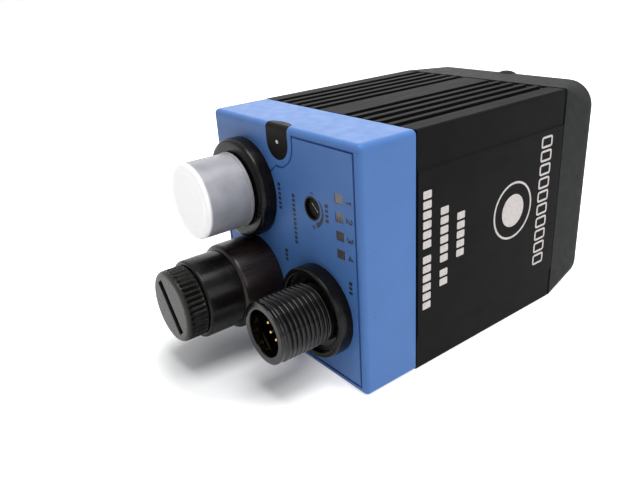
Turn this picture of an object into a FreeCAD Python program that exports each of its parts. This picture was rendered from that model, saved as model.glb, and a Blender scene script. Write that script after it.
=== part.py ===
import FreeCAD, Part
import math
import os
from collections import namedtuple
from types import SimpleNamespace

import Sketcher

# Machine vision camera: a finned extruded body, a rear cap with three round connectors and a front
# cover with the window for lens and lights.
# Frame: millimetres, +Z up, the lens looks along +Y, the connectors stick out along -Y. The origin is
# on the underside, midway between the two mounting threads.

SIZES = [
    # outer form
    ("body_width", 45.0, "width of body, cap and cover"),
    ("body_height", 47.0, "height of body, cap and cover"),
    ("body_length", 43.5, "distance from the cap's joint to the cover's joint"),
    ("cap_depth", 12.5, "depth of the rear cap"),
    ("cover_depth", 11.5, "depth of the front cover"),
    # extruded body
    ("housing_wall", 3.0, "side wall of the body"),
    ("housing_floor", 4.0, "floor of the body"),
    ("housing_roof", 4.5, "roof of the body, fins included"),
    ("housing_edge", 0.6, "rounding of the body's long edges"),
    ("fin_gap", 1.95, "width of one cooling groove"),
    ("fin_pitch", 3.25, "distance from groove to groove"),
    ("fin_depth", 2.2, "depth of the cooling grooves"),
    ("first_groove", 4.5, "distance of the innermost groove from the middle"),
    ("flat_proud", 0.3, "height of the raised flat on each side"),
    ("flat_bottom", 7.0, "lower edge of the raised flat"),
    ("flat_top", 40.0, "upper edge of the raised flat"),
    ("boss_half", 2.9, "half side of the body's screw bosses"),
    ("rib_half", 4.0, "half width of the rib over the mounting threads"),
    ("rib_height", 7.5, "top of the rib over the mounting threads"),
    ("mount_hole", 1.65, "core radius of the M4 mounting threads"),
    ("mount_depth", 6.0, "depth of the mounting threads"),
    ("mount_offset", 10.0, "distance of each mounting thread from the origin"),
    # gaskets
    ("rear_seal_thick", 0.3, "thickness of the rear gasket"),
    ("front_seal_thick", 0.8, "thickness of the front gasket"),
    ("seal_inset", 0.5, "distance of a gasket from the outer surface"),
    ("seal_width", 1.5, "width of a gasket's strip"),
    # long screws that hold cover, body and cap together
    ("tie_edge", 5.0, "distance of the long screws from the body's sides, top and underside"),
    ("tie_radius", 1.5, "radius of an M3 screw"),
    ("tie_hole", 1.6, "radius of the clearance hole for M3"),
    ("tie_head_radius", 2.65, "radius of the screw head"),
    ("tie_head_height", 3.0, "height of the screw head"),
    ("tie_head_sunk", 1.5, "distance of the head below the cover's front"),
    ("tie_counterbore", 2.75, "radius of the counterbore for the head"),
    ("tie_seat_radius", 3.6, "radius of the boss round the counterbore"),
    ("tie_seat_thick", 1.2, "material under the screw head"),
    ("tie_socket", 1.4, "corner radius of the hexagon socket"),
    ("tie_socket_depth", 1.5, "depth of the hexagon socket"),
    ("post_half", 2.6, "half side of the screw posts in cap and cover"),
    ("insert_radius", 2.0, "radius of the brass inserts"),
    ("insert_length", 5.5, "length of the brass inserts"),
    ("insert_hole_depth", 8.0, "depth of the holes for the inserts"),
    # fits
    ("close_fit", 0.05, "radial clearance of screws, shafts and inserts"),
    ("push_fit", 0.02, "radial clearance of pieces pushed together"),
    # rear cap
    ("cap_wall", 2.5, "side wall of the rear cap"),
    ("face_wall", 2.5, "end wall of the rear cap"),
    ("cap_round", 1.0, "rounding of the rear cap's outer edges"),
    ("groove_inset", 1.25, "distance of the face groove from the edge"),
    ("groove_width", 0.45, "width of the face groove"),
    ("groove_depth", 0.4, "depth of the face groove"),
    ("notch_radius", 3.35, "radius of the notch in the top edge"),
    ("notch_drop", 3.2, "distance of the notch's centre from the top"),
    ("notch_depth", 3.8, "depth of the notch"),
    ("groove_sweep", 100.0, "how far the face groove runs round the notch, in degrees"),
    ("groove_meet", 30.0, "where the face groove runs under the power collar, in degrees"),
    ("notch_land", 1.05, "distance of the face groove from the notch"),
    ("notch_wall", 1.8, "material round the notch, inside"),
    ("pin_hole", 0.45, "radius of the small hole in the notch insert"),
    ("pin_hole_depth", 1.0, "depth of the small hole in the notch insert"),
    ("window_edge", 5.55, "distance of the status windows from the cap's side"),
    ("window_low", 26.9, "height of the lowest status window"),
    ("window_pitch", 3.37, "distance from window to window"),
    ("window_width", 2.1, "width of a status window"),
    ("window_height", 1.8, "height of a status window"),
    ("pipe_sunk", 0.1, "distance of the light pipe's ends below the face"),
    ("pipe_bar_half", 1.6, "half width of the bar that joins the light pipes"),
    ("pipe_bar_thick", 1.6, "thickness of the bar that joins the light pipes"),
    # round connectors
    ("power_edge", 10.85, "distance of the power connector from the cap's side"),
    ("power_z", 32.85, "power connector, height"),
    ("lan_x", -10.38, "network connector, sideways"),
    ("lan_z", 13.63, "network connector, height"),
    ("data_x", 10.5, "data connector, sideways"),
    ("data_z", 13.8, "data connector, height"),
    ("thread_radius", 6.0, "outer radius of the M12 thread"),
    ("neck_radius", 6.8, "radius of a shell's neck in the cap"),
    ("neck_reach", 5.5, "how far a neck reaches behind the face"),
    ("bore_radius", 4.45, "bore of a plug shell"),
    ("insert_body", 5.2, "radius of the moulded contact carriers"),
    ("nut_radius", 8.0, "outer radius of a connector nut"),
    ("nut_thick", 2.5, "thickness of a connector nut"),
    ("nut_room", 0.3, "room round a connector nut"),
    ("thread_end_bevel", 0.35, "bevel at the end of a threaded tube"),
    ("collar_thick", 3.0, "thickness of the power and data collars"),
    ("collar_recess", 1.2, "depth of the recess in a collar's front"),
    ("collar_recess_radius", 7.7, "radius of the recess in a collar's front"),
    ("power_collar_radius", 10.0, "radius of the power collar"),
    ("power_collar_bevel", 0.8, "width of the power collar's bevel"),
    ("data_collar_radius", 8.9, "radius of the data collar"),
    ("collar_edge", 0.25, "small bevel on collars"),
    ("power_reach", 12.0, "length of the power connector outside the face"),
    ("power_carrier", 6.0, "carrier face of the power connector, from the cap's face"),
    ("power_pin", 0.5, "radius of a power pin"),
    ("power_pin_circle", 2.8, "circle of the power pins"),
    ("pin_reach", 10.6, "pin tips, from the cap's face"),
    ("data_reach", 13.2, "length of the data connector outside the face"),
    ("data_carrier", 6.2, "carrier face of the data connector, from the cap's face"),
    ("data_pin", 0.4, "radius of a data pin"),
    ("data_pin_circle", 2.75, "circle of the outer data pins"),
    ("data_inner_circle", 1.15, "circle of the inner data pins"),
    # dust cap on the power connector
    ("dust_radius", 7.45, "radius of the dust cap"),
    ("dust_rim_radius", 7.6, "radius of the dust cap's rim"),
    ("dust_rim", 0.6, "height of the dust cap's rim"),
    ("dust_gap", 0.4, "gap between dust cap and collar"),
    ("dust_fit", 0.06, "clearance of the dust cap on the thread"),
    ("dust_room", 0.1, "room between the dust cap's end and the shell"),
    ("dust_end_wall", 0.7, "end wall of the dust cap at its recess"),
    ("dust_recess_radius", 5.6, "radius of the recess in the dust cap's end"),
    ("dust_recess", 0.4, "depth of the recess in the dust cap's end"),
    ("dust_bevel", 0.3, "bevel at the dust cap's end"),
    # network connector and its blanking plug
    ("barrel_radius", 8.85, "radius of the network barrel"),
    ("barrel_length", 9.0, "length of the network barrel"),
    ("barrel_round", 0.6, "bevel of the barrel's outer edge"),
    ("socket_radius", 7.95, "radius of the network socket's collar"),
    ("socket_length", 7.4, "length of the network socket's collar"),
    ("socket_edge", 0.5, "bevel of the network socket's collar"),
    ("socket_floor", 8.0, "end of the socket's thread, from the cap's face"),
    ("lan_carrier", 9.5, "carrier face of the network connector, from the cap's face"),
    ("lan_contact", 0.55, "radius of a network contact"),
    ("lan_contact_circle", 2.8, "circle of the network contacts"),
    ("lan_contact_sunk", 0.3, "distance of the contacts below the carrier face"),
    ("plug_radius", 7.2, "radius of the blanking plug's head"),
    ("plug_head", 4.4, "height of the blanking plug's head"),
    ("plug_round", 0.6, "bevel of the blanking plug's outer edge"),
    ("plug_gap", 0.1, "gap between plug head and socket"),
    ("plug_shank", 5.8, "length of the plug's thread"),
    ("thread_fit", 0.07, "clearance of the plug's thread"),
    ("plug_slot_width", 1.5, "width of the plug's slot"),
    ("plug_slot_length", 10.6, "length of the plug's slot"),
    ("plug_slot_depth", 1.4, "depth of the plug's slot"),
    ("plug_slot_angle", 126.0, "direction of the plug's slot"),
    ("knurl_depth", 0.25, "depth of the plug's knurl grooves"),
    ("knurl_half", 0.28, "half width of a knurl groove"),
    ("ring_cord", 0.43, "cord radius of the plug's ring seal"),
    ("ring_recess", 0.9, "depth of the ring seal's seat"),
    ("ring_recess_radius", 6.95, "radius of the ring seal's seat"),
    # focus drive
    ("focus_x", 9.5, "focus shaft, sideways"),
    ("focus_z", 33.4, "focus shaft, height"),
    ("focus_hole", 2.0, "hole of the focus screw in the cap"),
    ("focus_boss", 3.6, "radius of the boss round the focus screw"),
    ("focus_boss_reach", 7.0, "how far the boss reaches behind the face"),
    ("focus_sunk", 0.5, "distance of the focus screw below the face"),
    ("focus_head", 3.5, "length of the focus screw's head"),
    ("focus_head_fit", 0.07, "clearance of the focus screw's head"),
    ("focus_slot_width", 0.6, "width of the focus screw's slot"),
    ("focus_slot_depth", 0.8, "depth of the focus screw's slot"),
    ("focus_slot_angle", 58.0, "direction of the focus screw's slot"),
    ("focus_seal_place", 1.6, "start of the seal's groove, from the face"),
    ("focus_seal_width", 1.0, "width of the seal's groove"),
    ("focus_seal_floor", 1.2, "radius of the seal groove's floor"),
    ("focus_seal_cord", 0.37, "cord radius of the focus seal"),
    ("shaft_radius", 1.0, "radius of the focus shaft"),
    ("shaft_entry", 1.1, "length of the shaft inside the focus screw"),
    ("shaft_passage", 1.6, "holes for the shaft in the boards"),
    ("bush_play", 0.3, "gap between focus screw and bush"),
    ("bush_flange", 3.2, "radius of the bush's flange"),
    ("bush_flange_thick", 1.0, "thickness of the bush's flange"),
    ("gear_width", 3.0, "width of the gears"),
    ("gear_room", 3.4, "room for the gears between holder and gear cover"),
    ("gear_play", 0.06, "widening of each tooth gap, on each side"),
    ("ring_hub_radius", 8.4, "radius of the focus ring's hub"),
    ("ring_hub_length", 1.4, "length of the focus ring's hub"),
    # lens
    ("barrel_outer", 7.2, "outer radius of the lens barrel"),
    ("lens_reach", 1.7, "barrel end before the front wall's inner face"),
    ("lens_tail", 0.5, "barrel end behind the holder's tube"),
    ("guide_radius", 0.7, "radius of the guide pin"),
    ("guide_place", 4.0, "guide pin, from the tube's rear end"),
    ("guide_slot_half", 1.5, "half length of the barrel's guide slot"),
    ("guide_slot_depth", 1.3, "depth of the barrel's guide slot"),
    ("front_lens_radius", 5.5, "radius of the front lens"),
    ("front_lens_thick", 3.0, "thickness of the front lens"),
    ("front_lens_bulge", 0.7, "bulge of each face of the front lens"),
    ("retainer_thick", 1.1, "thickness of the lens retainer"),
    ("retainer_bore", 4.6, "bore of the lens retainer"),
    ("front_lens_sunk", 0.3, "distance of the retainer below the barrel's end"),
    ("rear_lens_radius", 4.2, "radius of the rear lens"),
    ("rear_lens_thick", 2.2, "thickness of the rear lens"),
    ("rear_lens_bulge", 0.5, "bulge of the rear lens's inner face"),
    ("light_bore", 3.6, "clear bore of the barrel"),
    # holder, gear cover, lights and window
    ("cover_less", 2.0, "how much smaller than the holder the gear cover and light board are, on each side"),
    ("holder_thick", 2.5, "thickness of the holder's plate"),
    ("holder_tube", 9.5, "radius of the holder's tube"),
    ("holder_tube_length", 9.5, "length of the holder's tube"),
    ("optics_edge", 2.0, "distance of the optics screws from the gear cover's sides"),
    ("optics_z", 8.0, "optics screws, upwards"),
    ("small_screw", 1.0, "radius of an M2 screw"),
    ("small_head", 1.7, "radius of an M2 head"),
    ("small_head_height", 1.4, "height of an M2 head"),
    ("small_cross", 0.5, "width of the slot in an M2 head"),
    ("small_cross_depth", 0.6, "depth of the slot in an M2 head"),
    ("optics_boss", 1.65, "radius of the small screw bosses"),
    ("gear_cover_thick", 1.2, "thickness of the gear cover"),
    ("gear_cover_boss", 1.4, "height of the gear cover's bosses"),
    ("gear_cover_bore", 7.5, "bore of the gear cover"),
    ("shaft_stub", 0.7, "length of the shaft past the gear cover"),
    ("light_board_thick", 1.2, "thickness of the light board"),
    ("light_board_hole", 9.2, "hole of the light board"),
    ("optics_post", 3.1, "length of the cover's small posts"),
    ("optics_grip", 2.5, "length of the optics screws in the cover's posts"),
    ("light_circle", 11.5, "circle of the lights"),
    ("light_side", 2.6, "side of one light"),
    ("light_height", 1.4, "height of one light"),
    ("shield_outer", 9.0, "outer radius of the light shield"),
    ("shield_inner", 8.2, "inner radius of the light shield"),
    ("shield_flange", 9.8, "radius of the light shield's flange"),
    ("shield_flange_thick", 0.6, "thickness of the light shield's flange"),
    ("shield_gap", 0.2, "gap between light shield and window"),
    ("cover_wall", 2.5, "side wall of the front cover"),
    ("front_wall", 3.2, "front wall of the front cover"),
    ("cover_side_round", 6.0, "rounding of the cover's upright front edges"),
    ("cover_top_round", 3.0, "rounding of the cover's upper and lower front edges"),
    ("nub_width", 2.5, "width of the nub on the cover's top"),
    ("nub_depth", 1.6, "depth of the nub on the cover's top"),
    ("nub_height", 0.7, "height of the nub on the cover's top"),
    ("opening_radius", 13.2, "radius of the window's opening"),
    ("pane_radius", 14.6, "radius of the window's pane"),
    ("pane_fit", 0.1, "clearance of the pane in its seat"),
    ("pane_thick", 1.6, "thickness of the pane"),
    ("opening_bevel", 0.6, "bevel of the window's opening"),
    # boards
    ("board_room_x", 0.9, "room between the boards and the body's side walls"),
    ("board_room_z", 3.8, "room between the boards and the body's roof"),
    ("board_thick", 1.6, "thickness of the boards"),
    ("stack_x", 14.0, "board spacers, sideways"),
    ("stack_edge", 2.4, "distance of the board spacers from the boards' upper and lower edges"),
    ("spacer_radius", 1.5, "radius of the board spacers"),
    ("stud_radius", 0.8, "radius of a spacer's stud"),
    ("stud_grip", 2.4, "length of a stud in the next spacer"),
    ("stack_grip", 4.0, "length of a stack screw in its spacer"),
    ("sensor_gap", 15.5, "distance from holder to sensor board"),
    ("processor_gap", 7.4, "distance from sensor board to processor board"),
    ("interface_reach", 1.3, "back of the interface board behind the cap's joint"),
    ("sensor_side", 8.0, "side of the image sensor"),
    ("sensor_thick", 1.6, "thickness of the image sensor"),
    ("chip_thick", 1.1, "thickness of the chips"),
    ("header_width", 12.0, "width of the board headers"),
    ("header_depth", 2.5, "depth of the board headers"),
    ("header_drop", 12.0, "board headers below the middle"),
    ("status_led_side", 1.2, "side of a status light on the board"),
    ("status_led_height", 0.8, "height of a status light on the board"),
    ("pipe_air", 0.3, "air between light pipe and status light"),
]

GROOVES_PER_SIDE = 5
WINDOW_COUNT = 4
LIGHT_COUNT = 8
KNURL_COUNT = 36
PINION_TEETH = 12
RING_TEETH = 44
POWER_RING_PINS = 4
LAN_CONTACTS = 4
DATA_OUTER_PINS = 9
DATA_INNER_PINS = 3
FLANK_STEPS = 3
ARC_STEPS = 10
PRESSURE_ANGLE = 20.0
ADDENDUM = 0.9
DEDENDUM = 1.25
FLANK_OVER = 0.15
DATA_OUTER_START = 180.0
DATA_INNER_START = 30.0
SEAL_SIDES = 8
MARGIN = 1.0
TINY = 1e-4

# Chips on the processor board: x and z from the middle of the board, half width and half height.
CHIPS = [(-7.0, 4.0, 5.0, 5.0), (4.0, 1.5, 3.0, 4.0), (-2.0, -6.0, 3.5, 2.0)]

Disc = namedtuple("Disc", "x z radius")
Outline = namedtuple("Outline", "points rounds")


class Size:
    """A number together with the spreadsheet expression that gives it."""

    def __init__(self, text, value):
        self.text = text
        self.value = value

    def _with(self, sign, other, value):
        return Size("(%s %s %s)" % (self.text, sign, other.text), value)

    def __add__(self, other):
        other = sized(other)
        return self._with("+", other, self.value + other.value)

    def __sub__(self, other):
        other = sized(other)
        return self._with("-", other, self.value - other.value)

    def __mul__(self, other):
        other = sized(other)
        return self._with("*", other, self.value * other.value)

    def __truediv__(self, other):
        other = sized(other)
        return self._with("/", other, self.value / other.value)

    def __radd__(self, other):
        return sized(other) + self

    def __rsub__(self, other):
        return sized(other) - self

    def __rmul__(self, other):
        return sized(other) * self

    def __neg__(self):
        return sized(0) - self


def sized(value):
    """A Size as it is, or a plain number as a Size."""
    if isinstance(value, Size):
        return value
    return Size(repr(value), float(value))


def root(size):
    return Size("sqrt(%s)" % size.text, math.sqrt(size.value))


def cosine(degrees):
    degrees = sized(degrees)
    return Size("cos(%s)" % degrees.text, math.cos(math.radians(degrees.value)))


def sine(degrees):
    degrees = sized(degrees)
    return Size("sin(%s)" % degrees.text, math.sin(math.radians(degrees.value)))


def fill_sheet(doc):
    """Write the sizes into the spreadsheet and return them by name."""
    sheet = doc.addObject("Spreadsheet::Sheet", "Sizes")
    named = {}
    for row, (alias, value, meaning) in enumerate(SIZES, start=1):
        sheet.set("A%d" % row, meaning)
        sheet.set("B%d" % row, repr(value))
        sheet.setAlias("B%d" % row, alias)
        named[alias] = Size("Sizes." + alias, value)
    doc.recompute()
    return SimpleNamespace(**named)


doc = FreeCAD.newDocument("machine_vision_camera")
s = fill_sheet(doc)
nodes = []

# Places along Y and in the cross-section that several pieces share.
zero = sized(0)
half_width = s.body_width / 2
middle_z = s.body_height / 2
cap_joint = -s.body_length / 2
cover_joint = s.body_length / 2
face = cap_joint - s.cap_depth
front = cover_joint + s.cover_depth
housing_rear = cap_joint + s.rear_seal_thick
housing_front = cover_joint - s.front_seal_thick
face_inner = face + s.face_wall
wall_inner = front - s.front_wall
light_front = wall_inner - s.optics_post
light_back = light_front - s.light_board_thick
gear_cover_front = light_back - s.gear_cover_boss
gear_cover_back = gear_cover_front - s.gear_cover_thick
holder_front = gear_cover_back - s.gear_room
holder_back = holder_front - s.holder_thick
tube_end = holder_back - s.holder_tube_length
sensor_front = holder_back - s.sensor_gap
sensor_back = sensor_front - s.board_thick
processor_front = sensor_back - s.processor_gap
processor_back = processor_front - s.board_thick
interface_back = cap_joint - s.interface_reach
interface_front = interface_back + s.board_thick
gear_gap = (s.gear_room - s.gear_width) / 2
gear_back = holder_front + gear_gap
gear_front = gear_back + s.gear_width
neck_end = face + s.neck_reach
collar_front = face - s.collar_thick
collar_floor = collar_front + s.collar_recess
neck_hole = s.neck_radius + s.close_fit
carrier_bore = s.insert_body + s.push_fit
small_hole = s.small_screw + s.close_fit
shaft_hole = s.shaft_radius + s.close_fit
tie_seat = front - s.tie_head_sunk - s.tie_head_height
plug_face = face - s.barrel_length - s.socket_length
tie_x = half_width - s.tie_edge
tie_z = middle_z - s.tie_edge
notch_z = s.body_height - s.notch_drop
window_x = half_width - s.window_edge
power_x = s.power_edge - half_width
board_half_x = half_width - s.housing_wall - s.board_room_x
board_half_z = middle_z - s.housing_roof - s.board_room_z
cover_half_x = board_half_x - s.cover_less
cover_half_z = board_half_z - s.cover_less
optics_x = cover_half_x - s.optics_edge
stack_z = board_half_z - s.stack_edge
CORNERS = [(1, 1), (-1, 1), (-1, -1), (1, -1)]


# ---- helpers ---------------------------------------------------------------------------------------

def bind(thing, path, size):
    """Tie one property of an object to its expression in the sheet."""
    thing.setExpression(path, sized(size).text)


def keep(thing, label):
    """Name a finished sub-part, so that it is checked and written."""
    thing.Label = label
    nodes.append(thing)
    return thing


def new_body(label, x=zero, z=zero):
    body = doc.addObject("PartDesign::Body", label + "_body")
    bind(body, "Placement.Base.x", x)
    bind(body, "Placement.Base.z", z)
    return keep(body, label)


def sketch_on(body, role, offset=zero):
    """An empty sketch on one of the body's origin planes, moved along the plane's normal."""
    sketch = body.newObject("Sketcher::SketchObject", "sketch")
    plane = [feature for feature in body.Origin.OriginFeatures if feature.Role == role][0]
    sketch.AttachmentSupport = (plane, "")
    sketch.MapMode = "FlatFace"
    bind(sketch, "AttachmentOffset.Base.z", offset)
    return sketch


def hold(sketch, kind, places, size):
    """Add one dimension to a sketch and tie it to the sheet where it depends on it."""
    index = sketch.addConstraint(Sketcher.Constraint(kind, *places, float(size.value)))
    if "Sizes." in size.text:
        bind(sketch, "Constraints[%d]" % index, size)


def fix_point(sketch, geometry, point, x, y):
    hold(sketch, "DistanceX", (-1, 1, geometry, point), sized(x))
    hold(sketch, "DistanceY", (-1, 1, geometry, point), sized(y))


def arc_between(start, end, radius):
    """Short arc from start to end; a positive radius turns left. Gives (arc, start end, end end)."""
    chord = end.sub(start)
    half = chord.Length / 2
    rise = math.sqrt(max(radius * radius - half * half, 0.0))
    side = FreeCAD.Vector(-chord.y, chord.x, 0).normalize() * math.copysign(rise, radius)
    centre = start.add(chord * 0.5).add(side)
    first, last = (start, end) if radius > 0 else (end, start)
    begin = math.atan2(first.y - centre.y, first.x - centre.x)
    stop = math.atan2(last.y - centre.y, last.x - centre.x)
    if stop < begin:
        stop += 2 * math.pi
    circle = Part.Circle(centre, FreeCAD.Vector(0, 0, 1), abs(radius))
    ends = (1, 2) if radius > 0 else (2, 1)
    return Part.ArcOfCircle(circle, begin, stop), ends


def draw_outline(sketch, points, rounds=None):
    """Closed outline through the points. rounds gives the radius of each side that is an arc."""
    rounds = rounds or {}
    first = sketch.GeometryCount
    count = len(points)
    spots = [FreeCAD.Vector(sized(x).value, sized(y).value, 0) for x, y in points]
    ends = []
    for side in range(count):
        start, end = spots[side], spots[(side + 1) % count]
        if side in rounds:
            arc, places = arc_between(start, end, rounds[side].value)
            sketch.addGeometry(arc, False)
            ends.append(places)
        else:
            sketch.addGeometry(Part.LineSegment(start, end), False)
            ends.append((1, 2))
    for side in range(count):
        after = (side + 1) % count
        joint = Sketcher.Constraint("Coincident", first + side, ends[side][1], first + after, ends[after][0])
        sketch.addConstraint(joint)
    for side, (x, y) in enumerate(points):
        fix_point(sketch, first + side, ends[side][0], x, y)
    for side, radius in rounds.items():
        size = radius if radius.value > 0 else -radius
        hold(sketch, "Radius", (first + side,), size)


def draw_disc(sketch, disc):
    centre = FreeCAD.Vector(sized(disc.x).value, sized(disc.z).value, 0)
    circle = Part.Circle(centre, FreeCAD.Vector(0, 0, 1), disc.radius.value)
    index = sketch.addGeometry(circle, False)
    hold(sketch, "Radius", (index,), disc.radius)
    fix_point(sketch, index, 3, disc.x, disc.z)


def draw(sketch, shapes):
    for shape in shapes:
        if isinstance(shape, Disc):
            draw_disc(sketch, shape)
        elif isinstance(shape, Outline):
            draw_outline(sketch, shape.points, shape.rounds)
        else:
            draw_outline(sketch, shape)


def rect(x0, x1, z0, z1):
    return [(x0, z0), (x1, z0), (x1, z1), (x0, z1)]


def square(x, z, half):
    return rect(x - half, x + half, z - half, z + half)


def slot_outline(angle, half_length, half_width):
    """Slot about the middle of a screw's or plug's head, turned by angle."""
    cos_a, sin_a = cosine(angle), sine(angle)
    return [
        (i * half_length * cos_a - k * half_width * sin_a, i * half_length * sin_a + k * half_width * cos_a)
        for i, k in CORNERS
    ]


def pad(body, y0, y1, shapes):
    """Add material from y0 to y1."""
    sketch = sketch_on(body, "XZ_Plane", -y1)
    draw(sketch, shapes)
    feature = body.newObject("PartDesign::Pad", "pad")
    feature.Profile = sketch
    bind(feature, "Length", y1 - y0)
    return feature


def pocket(body, y0, y1, shapes):
    """Cut material away from y0 to y1."""
    sketch = sketch_on(body, "XZ_Plane", -y0)
    draw(sketch, shapes)
    feature = body.newObject("PartDesign::Pocket", "pocket")
    feature.Profile = sketch
    bind(feature, "Length", y1 - y0)
    return feature


def pocket_down(body, z1, depth, shapes, upwards=False):
    """Cut material away from the height z1 downwards, or upwards."""
    sketch = sketch_on(body, "XY_Plane", z1)
    draw(sketch, shapes)
    feature = body.newObject("PartDesign::Pocket", "pocket")
    feature.Profile = sketch
    feature.Reversed = upwards
    bind(feature, "Length", depth)
    return feature


def turned(label, profile, x=zero, z=zero, rounds=None):
    """A turned piece: its profile holds (radius, y) points, and its axis runs along Y at x, z."""
    body = new_body(label, x, z)
    sketch = sketch_on(body, "XY_Plane")
    draw_outline(sketch, profile, rounds)
    feature = body.newObject("PartDesign::Revolution", "turned")
    feature.Profile = sketch
    feature.ReferenceAxis = (sketch, ["V_Axis"])
    feature.Angle = 360
    return body


def round_edges(body, radius, pick):
    """Round the edges of the body's last solid that pick chooses."""
    doc.recompute()
    last = body.Tip
    names = ["Edge%d" % (i + 1) for i, edge in enumerate(last.Shape.Edges) if pick(edge)]
    feature = body.newObject("PartDesign::Fillet", "round")
    feature.Base = (last, names)
    bind(feature, "Radius", radius)
    return feature


def around(body, feature, count):
    """Repeat a feature evenly about the body's Y axis."""
    axis = [item for item in body.Origin.OriginFeatures if item.Role == "Y_Axis"][0]
    pattern = body.newObject("PartDesign::PolarPattern", "pattern")
    pattern.Originals = [feature]
    pattern.Axis = (axis, [""])
    pattern.Angle = 360
    pattern.Occurrences = count
    body.Tip = pattern
    return pattern


def along_y(edge):
    box = edge.BoundBox
    return box.XLength < TINY and box.ZLength < TINY


def lies_at(edge, axis, value):
    """Whether an edge lies in the plane where the given axis has the given value."""
    box = edge.BoundBox
    low, high = getattr(box, axis + "Min"), getattr(box, axis + "Max")
    return abs(low - value) < TINY and abs(high - value) < TINY


def place(thing, x, y, z):
    bind(thing, "Placement.Base.x", x)
    bind(thing, "Placement.Base.y", y)
    bind(thing, "Placement.Base.z", z)


def rod(x, z, y0, y1, radius):
    """A cylinder along Y from y0 to y1."""
    cylinder = doc.addObject("Part::Cylinder", "rod")
    cylinder.Placement.Rotation = FreeCAD.Rotation(FreeCAD.Vector(1, 0, 0), -90)
    place(cylinder, x, y0, z)
    bind(cylinder, "Radius", radius)
    bind(cylinder, "Height", y1 - y0)
    return cylinder


def block(x0, x1, y0, y1, z0, z1):
    box = doc.addObject("Part::Box", "block")
    place(box, x0, y0, z0)
    bind(box, "Length", x1 - x0)
    bind(box, "Width", y1 - y0)
    bind(box, "Height", z1 - z0)
    return box


def fused(*things):
    """Things joined to one solid."""
    fusion = doc.addObject("Part::MultiFuse", "fused")
    fusion.Shapes = list(things)
    return fusion


def cut(base, tool):
    result = doc.addObject("Part::Cut", "cut")
    result.Base = base
    result.Tool = tool
    return result


def group(label, things):
    """Separate solids of one kind that share a node."""
    compound = doc.addObject("Part::Compound", "group")
    compound.Links = things
    return keep(compound, label)


def on_circle(count, radius, start=0.0):
    """Places evenly round a circle, as (x, z) from its centre."""
    step = 360.0 / count
    return [(radius * cosine(start + i * step), radius * sine(start + i * step)) for i in range(count)]


def at_corners(x, z):
    """The four places at plus and minus x and z about the middle of the section."""
    return [(i * x, middle_z + k * z) for i, k in CORNERS]


def section(half_x, half_z):
    """A rectangle about the middle of the section."""
    return rect(-half_x, half_x, middle_z - half_z, middle_z + half_z)


# ---- body ------------------------------------------------------------------------------------------

def housing():
    """Extruded body: cooling grooves on top, a raised flat on each side, four screw bosses inside."""
    body = new_body("housing")
    proud = half_width + s.flat_proud
    right = [
        (half_width, zero),
        (half_width, s.flat_bottom),
        (proud, s.flat_bottom + s.flat_proud),
        (proud, s.flat_top - s.flat_proud),
        (half_width, s.flat_top),
        (half_width, s.body_height),
    ]
    left = [(-x, z) for x, z in reversed(right)]
    pad(body, housing_rear, housing_front, [right + left])
    edges = (half_width.value, -half_width.value)
    levels = (0.0, s.body_height.value)
    round_edges(body, s.housing_edge, lambda edge: along_y(edge) and any(
        lies_at(edge, "X", x) and lies_at(edge, "Z", z) for x in edges for z in levels))
    roof = s.body_height - s.housing_roof
    inner = half_width - s.housing_wall
    pocket(body, housing_rear, housing_front, [rect(-inner, inner, s.housing_floor, roof)])
    bosses = [square(x, z, s.boss_half) for x, z in at_corners(tie_x, tie_z)]
    rib = rect(-s.rib_half, s.rib_half, s.housing_floor / 2, s.rib_height)
    pad(body, housing_rear, housing_front, bosses)
    pad(body, housing_rear, housing_front, [rib])
    groove_floor = s.body_height - s.fin_depth
    grooves = []
    for side in (1, -1):
        for i in range(GROOVES_PER_SIDE):
            x = side * (s.first_groove + i * s.fin_pitch)
            grooves.append(rect(x - s.fin_gap / 2, x + s.fin_gap / 2, groove_floor, s.body_height + MARGIN))
    pocket(body, housing_rear, housing_front, grooves)
    holes = [Disc(x, z, s.tie_hole) for x, z in at_corners(tie_x, tie_z)]
    pocket(body, housing_rear, housing_front, holes)
    threads = [Disc(zero, i * s.mount_offset, s.mount_hole) for i in (1, -1)]
    pocket_down(body, zero, s.mount_depth, threads, upwards=True)


def gasket(label, y0, y1):
    outer = half_width - s.seal_inset
    inner = outer - s.seal_width
    high = middle_z - s.seal_inset
    low = high - s.seal_width
    body = new_body(label)
    pad(body, y0, y1, [section(outer, high), section(inner, low)])


# ---- rear cap --------------------------------------------------------------------------------------

def groove_legs():
    """Straight stretches of the face groove: left, bottom, right, top and down beside the notch."""
    wide = s.groove_width
    x_out = half_width - s.groove_inset
    x_in = x_out - wide
    z_low = s.groove_inset
    z_high = s.body_height - s.groove_inset
    turn_x = s.notch_radius + s.notch_land
    return [
        (-x_out, s.power_z), (-x_out, z_low), (x_out, z_low), (x_out, z_high),
        (turn_x, z_high), (turn_x, notch_z), (turn_x + wide, notch_z), (turn_x + wide, z_high - wide),
        (x_in, z_high - wide), (x_in, z_low + wide), (-x_in, z_low + wide), (-x_in, s.power_z),
    ]


def groove_arc():
    """Face groove round the notch, and on under the power collar."""
    inner = s.notch_radius + s.notch_land
    outer = inner + s.groove_width
    angles = [s.groove_sweep * (-i / ARC_STEPS) for i in range(ARC_STEPS + 1)]
    outside = [(outer * cosine(a), notch_z + outer * sine(a)) for a in angles]
    inside = [(inner * cosine(a), notch_z + inner * sine(a)) for a in reversed(angles)]
    under_x = power_x + s.power_collar_radius * cosine(s.groove_meet) - MARGIN
    under_z = s.power_z + s.power_collar_radius * sine(s.groove_meet) - MARGIN / 2
    tail = [(under_x + s.groove_width / 2, under_z - s.groove_width), (under_x, under_z)]
    return outside + tail + inside


def connector_axes():
    return [(power_x, s.power_z), (s.lan_x, s.lan_z), (s.data_x, s.data_z)]


def window_heights():
    return [s.window_low + i * s.window_pitch for i in range(WINDOW_COUNT)]


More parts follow.
